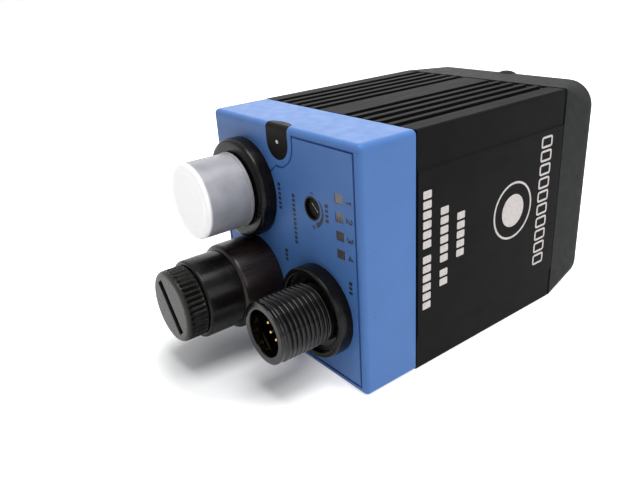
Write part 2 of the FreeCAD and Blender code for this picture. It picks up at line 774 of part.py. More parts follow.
def notch_outline(radius, top):
    """Straight sides from the top down to a half round about the notch's centre."""
    points = [(-radius, notch_z), (zero, notch_z - radius), (radius, notch_z), (radius, top), (-radius, top)]
    return Outline(points, {0: radius, 1: radius})


def rear_cap():
    """Moulded cap that closes the body at the rear and carries the connectors."""
    body = new_body("rear_cap")
    pad(body, face, cap_joint, [rect(-half_width, half_width, zero, s.body_height)])
    round_edges(body, s.cap_round, lambda edge: not lies_at(edge, "Y", cap_joint.value))
    inner = half_width - s.cap_wall
    pocket(body, face_inner, cap_joint, [rect(-inner, inner, s.cap_wall, s.body_height - s.cap_wall)])
    notch_back = face + s.notch_depth + s.notch_wall
    notch_boss = s.notch_radius + s.notch_wall
    inside_wall = face + s.face_wall / 2
    pad(body, inside_wall, notch_back, [notch_outline(notch_boss, s.body_height - s.cap_wall / 2)])
    pad(body, inside_wall, face + s.focus_boss_reach, [Disc(s.focus_x, s.focus_z, s.focus_boss)])
    posts = [square(x, z, s.post_half) for x, z in at_corners(tie_x, tie_z)]
    pad(body, inside_wall, housing_rear, posts)
    pocket(body, face, face + s.notch_depth, [notch_outline(s.notch_radius, s.body_height + MARGIN)])
    pocket(body, face, face + s.groove_depth, [groove_legs()])
    pocket(body, face, face + s.groove_depth, [groove_arc()])
    pocket(body, face, face_inner, [Disc(x, z, neck_hole) for x, z in connector_axes()])
    room = [Disc(x, z, s.nut_radius + s.nut_room) for x, z in connector_axes()]
    pocket(body, face_inner, neck_end, room)
    pocket(body, face, face + s.focus_boss_reach, [Disc(s.focus_x, s.focus_z, s.focus_hole)])
    windows = [
        rect(window_x - s.window_width / 2, window_x + s.window_width / 2,
             z - s.window_height / 2, z + s.window_height / 2)
        for z in window_heights()
    ]
    pocket(body, face, face_inner, windows)
    insert_hole = s.insert_radius + s.push_fit
    holes = [Disc(x, z, insert_hole) for x, z in at_corners(tie_x, tie_z)]
    pocket(body, housing_rear - s.insert_hole_depth, housing_rear, holes)


def notch_plug():
    """Insert that fills the notch, flush with the face and the top."""
    body = new_body("notch_plug")
    pad(body, face, face + s.notch_depth, [notch_outline(s.notch_radius - s.push_fit, s.body_height)])
    top = s.body_height.value
    round_edges(body, s.cap_round, lambda edge: lies_at(edge, "Y", face.value) and lies_at(edge, "Z", top))
    pocket(body, face, face + s.pin_hole_depth, [Disc(zero, notch_z, s.pin_hole)])


def status_light_pipe():
    """Four clear stubs from the status lights to the windows, joined by a bar behind the face."""
    body = new_body("status_light_pipe")
    heights = window_heights()
    half_x = s.window_width / 2 - s.close_fit
    half_z = s.window_height / 2 - s.close_fit
    pipe_end = interface_back - s.status_led_height - s.pipe_air
    bar = rect(window_x - s.pipe_bar_half, window_x + s.pipe_bar_half,
               heights[0] - s.window_height, heights[-1] + s.window_height)
    pad(body, face_inner, face_inner + s.pipe_bar_thick, [bar])
    stubs = [rect(window_x - half_x, window_x + half_x, z - half_z, z + half_z) for z in heights]
    pad(body, face + s.pipe_sunk, pipe_end, stubs)


def cap_inserts():
    """Brass threads in the cap's posts."""
    things = []
    for x, z in at_corners(tie_x, tie_z):
        shell = rod(x, z, housing_rear - s.insert_length, housing_rear, s.insert_radius)
        bore = rod(x, z, housing_rear - s.insert_length, housing_rear, s.tie_radius + s.close_fit)
        things.append(cut(shell, bore))
    group("cap_inserts", things)


def tie_screws():
    """Long screws from the front cover through the body into the cap."""
    things = []
    head_top = tie_seat + s.tie_head_height
    for x, z in at_corners(tie_x, tie_z):
        shank = rod(x, z, housing_rear - s.insert_length, tie_seat, s.tie_radius)
        head = rod(x, z, tie_seat, head_top, s.tie_head_radius)
        socket = doc.addObject("Part::Prism", "socket")
        socket.Placement.Rotation = FreeCAD.Rotation(FreeCAD.Vector(1, 0, 0), -90)
        socket.Polygon = 6
        place(socket, x, head_top - s.tie_socket_depth, z)
        bind(socket, "Circumradius", s.tie_socket)
        bind(socket, "Height", s.tie_socket_depth)
        things.append(cut(fused(shank, head), socket))
    group("tie_screws", things)


# ---- connectors ------------------------------------------------------------------------------------

def connector_nuts():
    """Ring nuts that hold the connector shells behind the cap's face."""
    things = []
    for x, z in connector_axes():
        ring = rod(x, z, face_inner, face_inner + s.nut_thick, s.nut_radius)
        things.append(cut(ring, rod(x, z, face_inner, face_inner + s.nut_thick, neck_hole)))
    group("connector_nuts", things)


def power_collar():
    edge = s.power_collar_radius
    bevel = s.power_collar_bevel
    turned("power_collar", [
        (neck_hole, face),
        (edge, face),
        (edge, collar_front + s.collar_edge),
        (edge - s.collar_edge / 2, collar_front + s.collar_edge / 2),
        (edge - bevel, collar_front),
        (s.collar_recess_radius, collar_front),
        (s.collar_recess_radius, collar_floor),
        (neck_hole, collar_floor),
    ], power_x, s.power_z)


def data_collar():
    edge = s.data_collar_radius
    turned("data_collar", [
        (neck_hole, face),
        (edge, face),
        (edge, collar_front + s.collar_edge),
        (edge - s.collar_edge, collar_front),
        (s.collar_recess_radius + s.collar_edge, collar_front),
        (s.collar_recess_radius, collar_front + s.collar_edge),
        (s.collar_recess_radius, collar_floor),
        (neck_hole, collar_floor),
    ], s.data_x, s.data_z)


def plug_shell(label, x, z, reach, carrier):
    """Threaded tube with a neck through the cap and a wider bore for the contact carrier."""
    end = face - reach
    bevel = s.thread_end_bevel
    turned(label, [
        (s.bore_radius, end),
        (s.thread_radius - bevel, end),
        (s.thread_radius, end + bevel),
        (s.thread_radius, collar_floor),
        (s.neck_radius, collar_floor),
        (s.neck_radius, neck_end),
        (carrier_bore, neck_end),
        (carrier_bore, face - carrier),
        (s.bore_radius, face - carrier),
    ], x, z)


def carrier(label, x, z, reach, places, hole):
    """Moulded contact carrier with a hole for each contact."""
    body = new_body(label, x, z)
    pad(body, face - reach, neck_end, [Disc(zero, zero, s.insert_body)])
    pocket(body, face - reach, neck_end, [Disc(px, pz, hole) for px, pz in places])


def contacts(label, x, z, places, radius, tip):
    """Contacts from their tips to the interface board."""
    group(label, [rod(x + px, z + pz, tip, interface_back, radius) for px, pz in places])


def power_connector():
    power_collar()
    plug_shell("power_shell", power_x, s.power_z, s.power_reach, s.power_carrier)
    places = on_circle(POWER_RING_PINS, s.power_pin_circle) + [(zero, zero)]
    carrier("power_insert", power_x, s.power_z, s.power_carrier, places, s.power_pin + s.push_fit)
    contacts("power_pins", power_x, s.power_z, places, s.power_pin, face - s.pin_reach)


def dust_cap():
    """Push-on cap over the power connector."""
    opening = collar_front - s.dust_gap
    inner_end = face - s.power_reach - s.dust_room
    floor = inner_end - s.dust_end_wall
    end = floor - s.dust_recess
    bore = s.thread_radius + s.dust_fit
    rim_end = opening - s.dust_rim
    turned("dust_cap", [
        (zero, floor),
        (s.dust_recess_radius, floor),
        (s.dust_recess_radius, end),
        (s.dust_radius - s.dust_bevel, end),
        (s.dust_radius, end + s.dust_bevel),
        (s.dust_radius, rim_end),
        (s.dust_rim_radius, rim_end),
        (s.dust_rim_radius, opening),
        (bore, opening),
        (bore, inner_end),
        (zero, inner_end),
    ], power_x, s.power_z)


def lan_connector():
    edge = s.barrel_round
    barrel_end = face - s.barrel_length
    turned("lan_barrel", [
        (neck_hole, face),
        (s.barrel_radius, face),
        (s.barrel_radius, barrel_end + edge),
        (s.barrel_radius - edge, barrel_end),
        (neck_hole, barrel_end),
    ], s.lan_x, s.lan_z)
    turned("lan_shell", [
        (s.ring_recess_radius, plug_face),
        (s.socket_radius - s.socket_edge, plug_face),
        (s.socket_radius, plug_face + s.socket_edge),
        (s.socket_radius, barrel_end),
        (s.neck_radius, barrel_end),
        (s.neck_radius, neck_end),
        (carrier_bore, neck_end),
        (carrier_bore, face - s.socket_floor),
        (s.thread_radius, face - s.socket_floor),
        (s.thread_radius, plug_face + s.ring_recess),
        (s.ring_recess_radius, plug_face + s.ring_recess),
    ], s.lan_x, s.lan_z)
    places = on_circle(LAN_CONTACTS, s.lan_contact_circle)
    carrier("lan_insert", s.lan_x, s.lan_z, s.lan_carrier, places, s.lan_contact + s.push_fit)
    tip = face - s.lan_carrier + s.lan_contact_sunk
    contacts("lan_contacts", s.lan_x, s.lan_z, places, s.lan_contact, tip)


def blanking_plug():
    """Knurled and slotted plug that closes the network socket."""
    head_back = plug_face - s.plug_gap
    head_end = head_back - s.plug_head
    edge = s.plug_round
    shank = s.thread_radius - s.thread_fit
    body = turned("blanking_plug", [
        (zero, head_end),
        (s.plug_radius - edge, head_end),
        (s.plug_radius, head_end + edge),
        (s.plug_radius, head_back),
        (shank, head_back),
        (shank, head_back + s.plug_shank),
        (zero, head_back + s.plug_shank),
    ], s.lan_x, s.lan_z)
    slot = slot_outline(s.plug_slot_angle, s.plug_slot_length / 2, s.plug_slot_width / 2)
    pocket(body, head_end, head_end + s.plug_slot_depth, [slot])
    floor = s.plug_radius - s.knurl_depth
    notch = [(zero, floor), (s.knurl_half, s.plug_radius + s.knurl_depth / 2),
             (-s.knurl_half, s.plug_radius + s.knurl_depth / 2)]
    groove = pocket(body, head_end + edge, head_back, [notch])
    around(body, groove, KNURL_COUNT)


def ring_seal(label, x, y, z, centre_radius, cord):
    """Seal ring about the line x, z, with a section of SEAL_SIDES sides."""
    profile = [(centre_radius + px, y + py) for px, py in on_circle(SEAL_SIDES, cord)]
    turned(label, profile, x, z)


def data_connector():
    data_collar()
    plug_shell("data_shell", s.data_x, s.data_z, s.data_reach, s.data_carrier)
    outer = on_circle(DATA_OUTER_PINS, s.data_pin_circle, DATA_OUTER_START)
    places = outer + on_circle(DATA_INNER_PINS, s.data_inner_circle, DATA_INNER_START)
    carrier("data_insert", s.data_x, s.data_z, s.data_carrier, places, s.data_pin + s.push_fit)
    contacts("data_pins", s.data_x, s.data_z, places, s.data_pin, face - s.pin_reach)


# ---- focus drive -----------------------------------------------------------------------------------

def focus_drive():
    """Slotted screw, its seal and bush in the cap, and the shaft that carries the pinion."""
    head_front = face + s.focus_sunk
    head_back = head_front + s.focus_head
    seal_start = face + s.focus_seal_place
    seal_end = seal_start + s.focus_seal_width
    head = s.focus_hole - s.focus_head_fit
    entry = head_back - s.shaft_entry
    body = turned("focus_screw", [
        (zero, head_front),
        (head, head_front),
        (head, seal_start),
        (s.focus_seal_floor, seal_start),
        (s.focus_seal_floor, seal_end),
        (head, seal_end),
        (head, head_back),
        (s.shaft_radius + s.push_fit, head_back),
        (s.shaft_radius + s.push_fit, entry),
        (zero, entry),
    ], s.focus_x, s.focus_z)
    slot = slot_outline(s.focus_slot_angle, s.focus_hole, s.focus_slot_width / 2)
    pocket(body, head_front, head_front + s.focus_slot_depth, [slot])
    seal_radius = s.focus_seal_floor + s.focus_seal_cord + s.push_fit
    seal_middle = (seal_start + seal_end) / 2
    ring_seal("focus_seal", s.focus_x, seal_middle, s.focus_z, seal_radius, s.focus_seal_cord)
    boss_end = face + s.focus_boss_reach
    bush = s.focus_hole - s.push_fit
    turned("focus_bush", [
        (shaft_hole, head_back + s.bush_play),
        (bush, head_back + s.bush_play),
        (bush, boss_end),
        (s.bush_flange, boss_end),
        (s.bush_flange, boss_end + s.bush_flange_thick),
        (shaft_hole, boss_end + s.bush_flange_thick),
    ], s.focus_x, s.focus_z)
    shaft = rod(s.focus_x, s.focus_z, entry, gear_cover_front + s.shaft_stub, s.shaft_radius)
    keep(shaft, "focus_shaft")


def mesh_sizes():
    """Module of the gears, and the direction (cosine, sine) from the ring to the pinion."""
    rise = s.focus_z - middle_z
    distance = root(s.focus_x * s.focus_x + rise * rise)
    module = 2 * distance / (PINION_TEETH + RING_TEETH)
    return module, (s.focus_x / distance, rise / distance)


def turned_by(direction, degrees):
    """A direction turned by some degrees."""
    cos_d, sin_d = direction
    cos_a, sin_a = cosine(degrees), sine(degrees)
    return cos_d * cos_a - sin_d * sin_a, sin_d * cos_a + cos_d * sin_a


def in_direction(radial, lateral, direction):
    cos_d, sin_d = direction
    return radial * cos_d - lateral * sin_d, radial * sin_d + lateral * cos_d


def tooth_gap(teeth, module, direction):
    """Involute gap between two teeth. A flank point at the roll angle t lies at
    base * (cos t + t sin t, sin t - t cos t), turned back by half the gap's width at the base circle."""
    pitch_radius = module * teeth / 2
    base = pitch_radius * cosine(PRESSURE_ANGLE)
    tip = pitch_radius + module * (ADDENDUM + FLANK_OVER)
    foot = pitch_radius - module * DEDENDUM
    pressure = math.radians(PRESSURE_ANGLE)
    half_gap = math.degrees(math.pi / (2 * teeth) - math.tan(pressure) + pressure)
    roll_end = math.sqrt((tip.value / base.value) ** 2 - 1.0)
    flank = [(foot, zero)]
    for step in range(FLANK_STEPS + 1):
        roll = roll_end * step / FLANK_STEPS
        degrees = math.degrees(roll)
        radial = base * (cosine(degrees) + roll * sine(degrees))
        lateral = base * (sine(degrees) - roll * cosine(degrees))
        if radial.value > foot.value:
            flank.append((radial, lateral))
    left = turned_by(direction, half_gap)
    right = turned_by(direction, -half_gap)
    play = s.gear_play
    points = [in_direction(radial, lateral + play, left) for radial, lateral in flank]
    points.append(in_direction(tip + module / 2, zero, direction))
    points += [in_direction(radial, -lateral - play, right) for radial, lateral in reversed(flank)]
    return points


def gear(body, teeth, module, direction):
    """Gear rim with its first gap in the given direction."""
    tip = module * (teeth / 2 + ADDENDUM)
    pad(body, gear_back, gear_front, [Disc(zero, zero, tip)])
    gap = pocket(body, gear_back, gear_front, [tooth_gap(teeth, module, direction)])
    around(body, gap, teeth)


def focus_gears():
    """Pinion on the focus shaft and the toothed ring that screws the lens barrel in and out."""
    module, direction = mesh_sizes()
    opposite = turned_by(direction, 180.0 + 180.0 / PINION_TEETH)
    pinion = new_body("focus_pinion", s.focus_x, s.focus_z)
    gear(pinion, PINION_TEETH, module, opposite)
    pocket(pinion, gear_back, gear_front, [Disc(zero, zero, s.shaft_radius + s.push_fit)])
    ring = new_body("focus_ring", zero, middle_z)
    gear(ring, RING_TEETH, module, direction)
    hub_back = holder_front - s.ring_hub_length
    pad(ring, hub_back, gear_back, [Disc(zero, zero, s.ring_hub_radius)])
    pocket(ring, hub_back, gear_front, [Disc(zero, zero, s.barrel_outer + s.close_fit)])


# ---- lens, holder and gear cover --------------------------------------------------------------------

def lens_holder():
    """Plate and tube that carry the lens barrel, the gears and the boards."""
    body = new_body("lens_holder")
    screws = at_corners(optics_x, s.optics_z)
    stack = at_corners(s.stack_x, stack_z)
    pad(body, holder_back, holder_front, [section(board_half_x, board_half_z)])
    pad(body, tube_end, holder_back, [Disc(zero, middle_z, s.holder_tube)])
    pad(body, holder_front, gear_cover_back, [Disc(x, z, s.optics_boss) for x, z in screws])
    pocket(body, tube_end, holder_front, [Disc(zero, middle_z, s.barrel_outer + s.close_fit)])
    hub_room = holder_front - s.ring_hub_length - s.close_fit
    pocket(body, hub_room, holder_front, [Disc(zero, middle_z, s.ring_hub_radius + s.close_fit)])
    pocket(body, holder_back, gear_cover_back, [Disc(x, z, small_hole) for x, z in screws])
    pocket(body, holder_back, holder_front, [Disc(x, z, small_hole) for x, z in stack])
    pocket(body, holder_back, holder_front, [Disc(s.focus_x, s.focus_z, shaft_hole)])
    pin_y = tube_end + s.guide_place
    top = middle_z + s.holder_tube + MARGIN
    depth = s.holder_tube - s.barrel_outer + MARGIN * 2
    pocket_down(body, top, depth, [Disc(zero, pin_y, s.guide_radius + s.push_fit)])


def guide_pin():
    """Pin through the holder's tube that keeps the lens barrel from turning."""
    bottom = middle_z + s.barrel_outer - s.guide_slot_depth + s.close_fit
    pin = doc.addObject("Part::Cylinder", "pin")
    place(pin, zero, tube_end + s.guide_place, bottom)
    bind(pin, "Radius", s.guide_radius)
    bind(pin, "Height", middle_z + s.holder_tube - bottom)
    keep(pin, "guide_pin")


def gear_cover():
    """Plate that keeps the focus ring in place and carries the light board."""
    body = new_body("gear_cover")
    screws = at_corners(optics_x, s.optics_z)
    pad(body, gear_cover_back, gear_cover_front, [section(cover_half_x, cover_half_z)])
    pad(body, gear_cover_front, light_back, [Disc(x, z, s.optics_boss) for x, z in screws])
    pocket(body, gear_cover_back, gear_cover_front, [Disc(zero, middle_z, s.gear_cover_bore)])
    pocket(body, gear_cover_back, gear_cover_front, [Disc(s.focus_x, s.focus_z, shaft_hole)])
    pocket(body, gear_cover_back, light_back, [Disc(x, z, small_hole) for x, z in screws])


def bulge_radius(radius, rise):
    """Radius of a sphere's cap from its rim radius and its rise."""
    return (radius * radius + rise * rise) / (2 * rise)


def lens_unit():
    """Lens barrel with its guide slot, two lenses and the retainer of the front lens."""
    barrel_back = tube_end - s.lens_tail
    barrel_front = wall_inner - s.lens_reach
    front_seat = s.front_lens_radius + s.close_fit
    rear_seat = s.rear_lens_radius + s.close_fit
    retainer_front = barrel_front - s.front_lens_sunk
    lens_front = retainer_front - s.retainer_thick
    lens_back = lens_front - s.front_lens_thick
    rear_front = barrel_back + s.rear_lens_thick
    throat = rear_front + s.lens_reach
    body = turned("lens_barrel", [
        (rear_seat, barrel_back),
        (s.barrel_outer, barrel_back),
        (s.barrel_outer, barrel_front),
        (front_seat, barrel_front),
        (front_seat, lens_back),
        (s.retainer_bore, lens_back),
        (s.light_bore, throat),
        (s.light_bore, rear_front),
        (rear_seat, rear_front),
    ], zero, middle_z)
    pin_y = tube_end + s.guide_place
    half = s.guide_radius + s.close_fit
    slot = [(half, pin_y - s.guide_slot_half), (half, pin_y + s.guide_slot_half),
            (-half, pin_y + s.guide_slot_half), (-half, pin_y - s.guide_slot_half)]
    pocket_down(body, s.barrel_outer + MARGIN, s.guide_slot_depth + MARGIN, [slot])
    bulge = s.front_lens_bulge
    curve = bulge_radius(s.front_lens_radius, bulge)
    turned("front_lens", [
        (zero, lens_back),
        (s.front_lens_radius, lens_back + bulge),
        (s.front_lens_radius, lens_front - bulge),
        (zero, lens_front),
    ], zero, middle_z, {0: curve, 2: curve})
    turned("lens_retainer", [
        (s.retainer_bore, lens_front),
        (s.front_lens_radius, lens_front),
        (s.front_lens_radius, retainer_front),
        (s.retainer_bore, retainer_front),
    ], zero, middle_z)
    bulge = s.rear_lens_bulge
    turned("rear_lens", [
        (zero, barrel_back),
        (s.rear_lens_radius, barrel_back),
        (s.rear_lens_radius, rear_front),
        (s.light_bore - s.close_fit, rear_front),
        (zero, rear_front + bulge),
    ], zero, middle_z, {3: bulge_radius(s.light_bore - s.close_fit, bulge)})


# ---- front cover, window and lights -----------------------------------------------------------------

def edge_cut(z_edge, z_flat):
    """Corner between the cover's front and its top or bottom, outside the rounding, as (y, z)."""
    out_z = z_edge + (MARGIN if z_edge.value > z_flat.value else -MARGIN)
    start = front - s.cover_top_round
    return [(start, z_edge), (start, out_z), (front + MARGIN, out_z), (front + MARGIN, z_flat), (front, z_flat)]


def round_front(body, z_edge, z_flat, turn):
    """Round the cover's upper or lower front edge over the whole width."""
    sketch = sketch_on(body, "YZ_Plane", -half_width)
    draw_outline(sketch, edge_cut(z_edge, z_flat), {4: turn * s.cover_top_round})
    feature = body.newObject("PartDesign::Pocket", "pocket")
    feature.Profile = sketch
    feature.Reversed = True
    bind(feature, "Length", s.body_width)


def front_cover():
    """Cover with the window opening, rounded at its front."""
    body = new_body("front_cover")
    pad(body, cover_joint, front, [rect(-half_width, half_width, zero, s.body_height)])
    round_edges(body, s.cover_side_round, lambda edge: lies_at(edge, "Y", front.value) and (
        lies_at(edge, "X", half_width.value) or lies_at(edge, "X", -half_width.value)))
    round_front(body, s.body_height, s.body_height - s.cover_top_round, 1)
    round_front(body, zero, s.cover_top_round, -1)
    inner = half_width - s.cover_wall
    pocket(body, cover_joint, wall_inner, [rect(-inner, inner, s.cover_wall, s.body_height - s.cover_wall)])
    tie = at_corners(tie_x, tie_z)
    small = at_corners(optics_x, s.optics_z)
    inside_wall = wall_inner + s.front_wall / 2
    pad(body, housing_front, inside_wall, [square(x, z, s.post_half) for x, z in tie])
    pad(body, tie_seat - s.tie_seat_thick, inside_wall, [Disc(x, z, s.tie_seat_radius) for x, z in tie])
    pad(body, light_front, inside_wall, [Disc(x, z, s.optics_boss) for x, z in small])
    nub_front = front - s.cover_top_round
    nub = rect(-s.nub_width / 2, s.nub_width / 2, s.body_height - s.cover_wall / 2, s.body_height + s.nub_height)
    pad(body, nub_front - s.nub_depth, nub_front, [nub])
    pocket(body, housing_front, tie_seat, [Disc(x, z, s.tie_hole) for x, z in tie])
    pocket(body, tie_seat, front, [Disc(x, z, s.tie_counterbore) for x, z in tie])
    grip_end = light_front + s.optics_grip + s.close_fit
    pocket(body, light_front, grip_end, [Disc(x, z, small_hole) for x, z in small])
    pane_front = wall_inner + s.pane_thick
    pocket(body, wall_inner, pane_front, [Disc(zero, middle_z, s.pane_radius + s.pane_fit)])
    pocket(body, pane_front, front, [Disc(zero, middle_z, s.opening_radius)])
    doc.recompute()
    rim = s.opening_radius.value
    last = body.Tip
    names = [
        "Edge%d" % (i + 1) for i, edge in enumerate(last.Shape.Edges)
        if lies_at(edge, "Y", front.value) and abs(edge.BoundBox.XLength - 2 * rim) < TINY
    ]
    bevel = body.newObject("PartDesign::Chamfer", "bevel")
    bevel.Base = (last, names)
    bind(bevel, "Size", s.opening_bevel)


def front_window():
    keep(rod(zero, middle_z, wall_inner, wall_inner + s.pane_thick, s.pane_radius), "front_window")


def light_unit():
    """Light board, its lights and the shield that keeps their light from the lens."""
    body = new_body("led_board")
    pad(body, light_back, light_front, [section(cover_half_x, cover_half_z)])
    pocket(body, light_back, light_front, [Disc(zero, middle_z, s.light_board_hole)])
    holes = [Disc(x, z, small_hole) for x, z in at_corners(optics_x, s.optics_z)]
    pocket(body, light_back, light_front, holes)
    half = s.light_side / 2
    start = 180.0 / LIGHT_COUNT
    group("leds", [
        block(x - half, x + half, light_front, light_front + s.light_height,
              middle_z + z - half, middle_z + z + half)
        for x, z in on_circle(LIGHT_COUNT, s.light_circle, start)
    ])
    turned("light_shield", [
        (s.shield_inner, light_back),
        (s.shield_outer, light_back),
        (s.shield_outer, light_front),
        (s.shield_flange, light_front),
        (s.shield_flange, light_front + s.shield_flange_thick),
        (s.shield_outer, light_front + s.shield_flange_thick),
        (s.shield_outer, wall_inner - s.shield_gap),
        (s.shield_inner, wall_inner - s.shield_gap),
    ], zero, middle_z)


def small_bolt(x, z, seat, reach, facing):
    """M2 screw: seat of its head, length of its shank along +Y or -Y (facing 1 or -1)."""
    back, ahead = (seat, seat + reach) if facing > 0 else (seat - reach, seat)
    head_start, head_end = (seat - s.small_head_height, seat) if facing > 0 else (seat, seat + s.small_head_height)
    body = fused(rod(x, z, back, ahead, s.small_screw), rod(x, z, head_start, head_end, s.small_head))
    slot_start = head_start if facing > 0 else head_end - s.small_cross_depth
    slot = block(x - s.small_head, x + s.small_head, slot_start, slot_start + s.small_cross_depth,
                 z - s.small_cross / 2, z + s.small_cross / 2)
    return cut(body, slot)


def optics_screws():
    """Screws from the holder through gear cover and light board into the front cover."""
    reach = light_front + s.optics_grip - holder_back
    places = at_corners(optics_x, s.optics_z)
    group("optics_screws", [small_bolt(x, z, holder_back, reach, 1) for x, z in places])


# ---- boards ----------------------------------------------------------------------------------------

def board(label, y0, y1, hole):
    """Circuit board with holes for the spacers' studs or screws and for the focus shaft."""
    body = new_body(label)
    pad(body, y0, y1, [section(board_half_x, board_half_z)])
    pocket(body, y0, y1, [Disc(x, z, hole) for x, z in at_corners(s.stack_x, stack_z)])
    pocket(body, y0, y1, [Disc(s.focus_x, s.focus_z, s.shaft_passage)])


def spacers(label, y0, y1, bore_rear, stud):
    """Four spacers from y0 to y1 with a threaded bore at the rear and a stud or a bore at the front."""
    things = []
    for x, z in at_corners(s.stack_x, stack_z):
        post = rod(x, z, y0, y1, s.spacer_radius)
        rear = cut(post, rod(x, z, y0, y0 + bore_rear, thread_bore(bore_rear)))
        if stud:
            things.append(fused(rear, rod(x, z, y1, y1 + s.board_thick + s.stud_grip, s.stud_radius)))
        else:
            things.append(cut(rear, rod(x, z, y1 - s.stack_grip, y1, small_hole)))
    group(label, things)


def thread_bore(depth):
    """Bore for a stud or for a stack screw, by its depth."""
    return small_hole if depth is s.stack_grip else s.stud_radius + s.close_fit


def chip(x, z, half_x, half_z):
    """Chip on the rear side of the processor board."""
    return block(sized(x) - half_x, sized(x) + half_x, processor_back - s.chip_thick, processor_back,
                 middle_z + (z - half_z), middle_z + (z + half_z))


def boards():
    stud_hole = s.stud_radius + s.close_fit
    board("sensor_board", sensor_back, sensor_front, stud_hole)
    board("processor_board", processor_back, processor_front, stud_hole)
    board("interface_board", interface_back, interface_front, small_hole)
    spacers("sensor_spacers", sensor_front, holder_back, s.stud_grip, False)
    spacers("processor_spacers", processor_front, sensor_back, s.stud_grip, True)
    spacers("interface_spacers", interface_front, processor_back, s.stack_grip, True)
    places = at_corners(s.stack_x, stack_z)
    rear = [small_bolt(x, z, interface_back, s.board_thick + s.stack_grip, 1) for x, z in places]
    ahead = [small_bolt(x, z, holder_front, s.holder_thick + s.stack_grip, -1) for x, z in places]
    group("stack_screws", rear + ahead)
    half = s.sensor_side / 2
    keep(block(-half, half, sensor_front, sensor_front + s.sensor_thick, middle_z - half, middle_z + half),
         "image_sensor")
    group("processor_chips", [chip(*outline) for outline in CHIPS])
    header_z = middle_z - s.header_drop
    group("board_headers", [
        block(-s.header_width / 2, s.header_width / 2, y0, y1,
              header_z - s.header_depth / 2, header_z + s.header_depth / 2)
        for y0, y1 in ((interface_front, processor_back), (processor_front, sensor_back))
    ])
    side = s.status_led_side / 2
    group("status_leds", [
        block(window_x - side, window_x + side, interface_back - s.status_led_height, interface_back,
              z - side, z + side)
        for z in window_heights()
    ])


# ---- build, check and write --------------------------------------------------------------------------

def build():
    housing()
    gasket("rear_seal", cap_joint, housing_rear)
    gasket("front_seal", housing_front, cover_joint)
    rear_cap()
    notch_plug()
    status_light_pipe()
    cap_inserts()
    tie_screws()
    connector_nuts()
    power_connector()
    dust_cap()
    lan_connector()
    blanking_plug()
    ring_radius = s.thread_radius + s.ring_cord
    ring_seal("plug_seal", s.lan_x, plug_face + s.ring_recess / 2, s.lan_z, ring_radius, s.ring_cord)
    data_connector()
    focus_drive()
    focus_gears()
    lens_holder()
    guide_pin()
    gear_cover()
    lens_unit()
    front_cover()
    front_window()
    light_unit()
    optics_screws()
    boards()


def check():
    """Stop if any object failed or any sub-part has no valid solid."""
    for thing in doc.Objects:
        if "Invalid" in thing.State or "Error" in thing.State:
            raise RuntimeError("%s (%s) failed: %s" % (thing.Name, thing.Label, thing.State))
    for thing in nodes:
        if thing.Shape.isNull() or not thing.Shape.isValid() or not thing.Shape.Solids:
            raise RuntimeError("%s has no valid solid" % thing.Label)


def write():
    os.makedirs("parts", exist_ok=True)
    for thing in nodes:
        thing.Shape.exportStep(os.path.join("parts", thing.Label + ".step"))


build()
doc.recompute()
check()
write()
print("%d sub-parts" % len(nodes))
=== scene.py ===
import math

import bmesh
import bpy
import numpy as np
from mathutils import Matrix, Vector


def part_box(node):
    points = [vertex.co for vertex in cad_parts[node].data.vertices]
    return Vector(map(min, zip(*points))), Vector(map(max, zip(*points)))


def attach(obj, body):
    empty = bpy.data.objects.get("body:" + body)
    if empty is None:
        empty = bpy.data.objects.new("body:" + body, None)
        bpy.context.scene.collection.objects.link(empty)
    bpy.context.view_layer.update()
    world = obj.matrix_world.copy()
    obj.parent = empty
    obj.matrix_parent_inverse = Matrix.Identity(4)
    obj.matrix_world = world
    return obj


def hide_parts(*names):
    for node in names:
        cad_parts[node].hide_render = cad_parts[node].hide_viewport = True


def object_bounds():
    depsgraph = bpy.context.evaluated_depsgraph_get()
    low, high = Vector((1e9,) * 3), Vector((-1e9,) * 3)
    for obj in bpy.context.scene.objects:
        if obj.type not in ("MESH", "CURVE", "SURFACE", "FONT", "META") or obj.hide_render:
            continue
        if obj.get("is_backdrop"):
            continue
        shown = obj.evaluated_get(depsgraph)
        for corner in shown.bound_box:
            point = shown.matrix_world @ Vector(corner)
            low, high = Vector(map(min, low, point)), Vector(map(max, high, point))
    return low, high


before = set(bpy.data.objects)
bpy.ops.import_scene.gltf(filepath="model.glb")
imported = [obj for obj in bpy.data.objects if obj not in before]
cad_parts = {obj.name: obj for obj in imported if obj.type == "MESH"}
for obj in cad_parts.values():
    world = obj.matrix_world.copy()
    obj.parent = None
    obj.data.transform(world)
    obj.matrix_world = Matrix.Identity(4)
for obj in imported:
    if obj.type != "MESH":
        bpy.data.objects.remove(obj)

bl_info = {
    "name": "Machine vision camera finish",
    "version": (1, 0, 0),
    "blender": (4, 5, 0),
    "location": "View3D > Sidebar > Vision Camera",
    "description": "Surfaces, marks and finishes of a finned machine vision camera",
    "category": "Object",
}

LOW, HIGH = (np.array(corner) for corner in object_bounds())
CAP_LOW, CAP_HIGH = (np.array(corner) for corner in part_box("rear_cap"))
SIDE_LOW, SIDE_HIGH = (np.array(corner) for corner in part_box("housing"))
FACE_Y = float(CAP_LOW[1])

# Directions of the slots at rest, in degrees.
PLUG_SLOT_TURN = 36.0
FOCUS_SLOT_TURN = -132.0

# Gaps between a connector's neck and the ring round it, and between an insulator and its tube.
NECK_PLAY = 0.00005
CARRIER_PLAY = 0.00002

# Share of the thread's depth that is cut, and how much its wave is cut off at the crest.
THREAD_SHARE = 0.9
THREAD_CREST = 1.35

# Circles of data pins: radius, number of pins, direction of the first in degrees.
PIN_CIRCLES = ((0.00275, 9, 180.0), (0.00115, 3, 30.0))

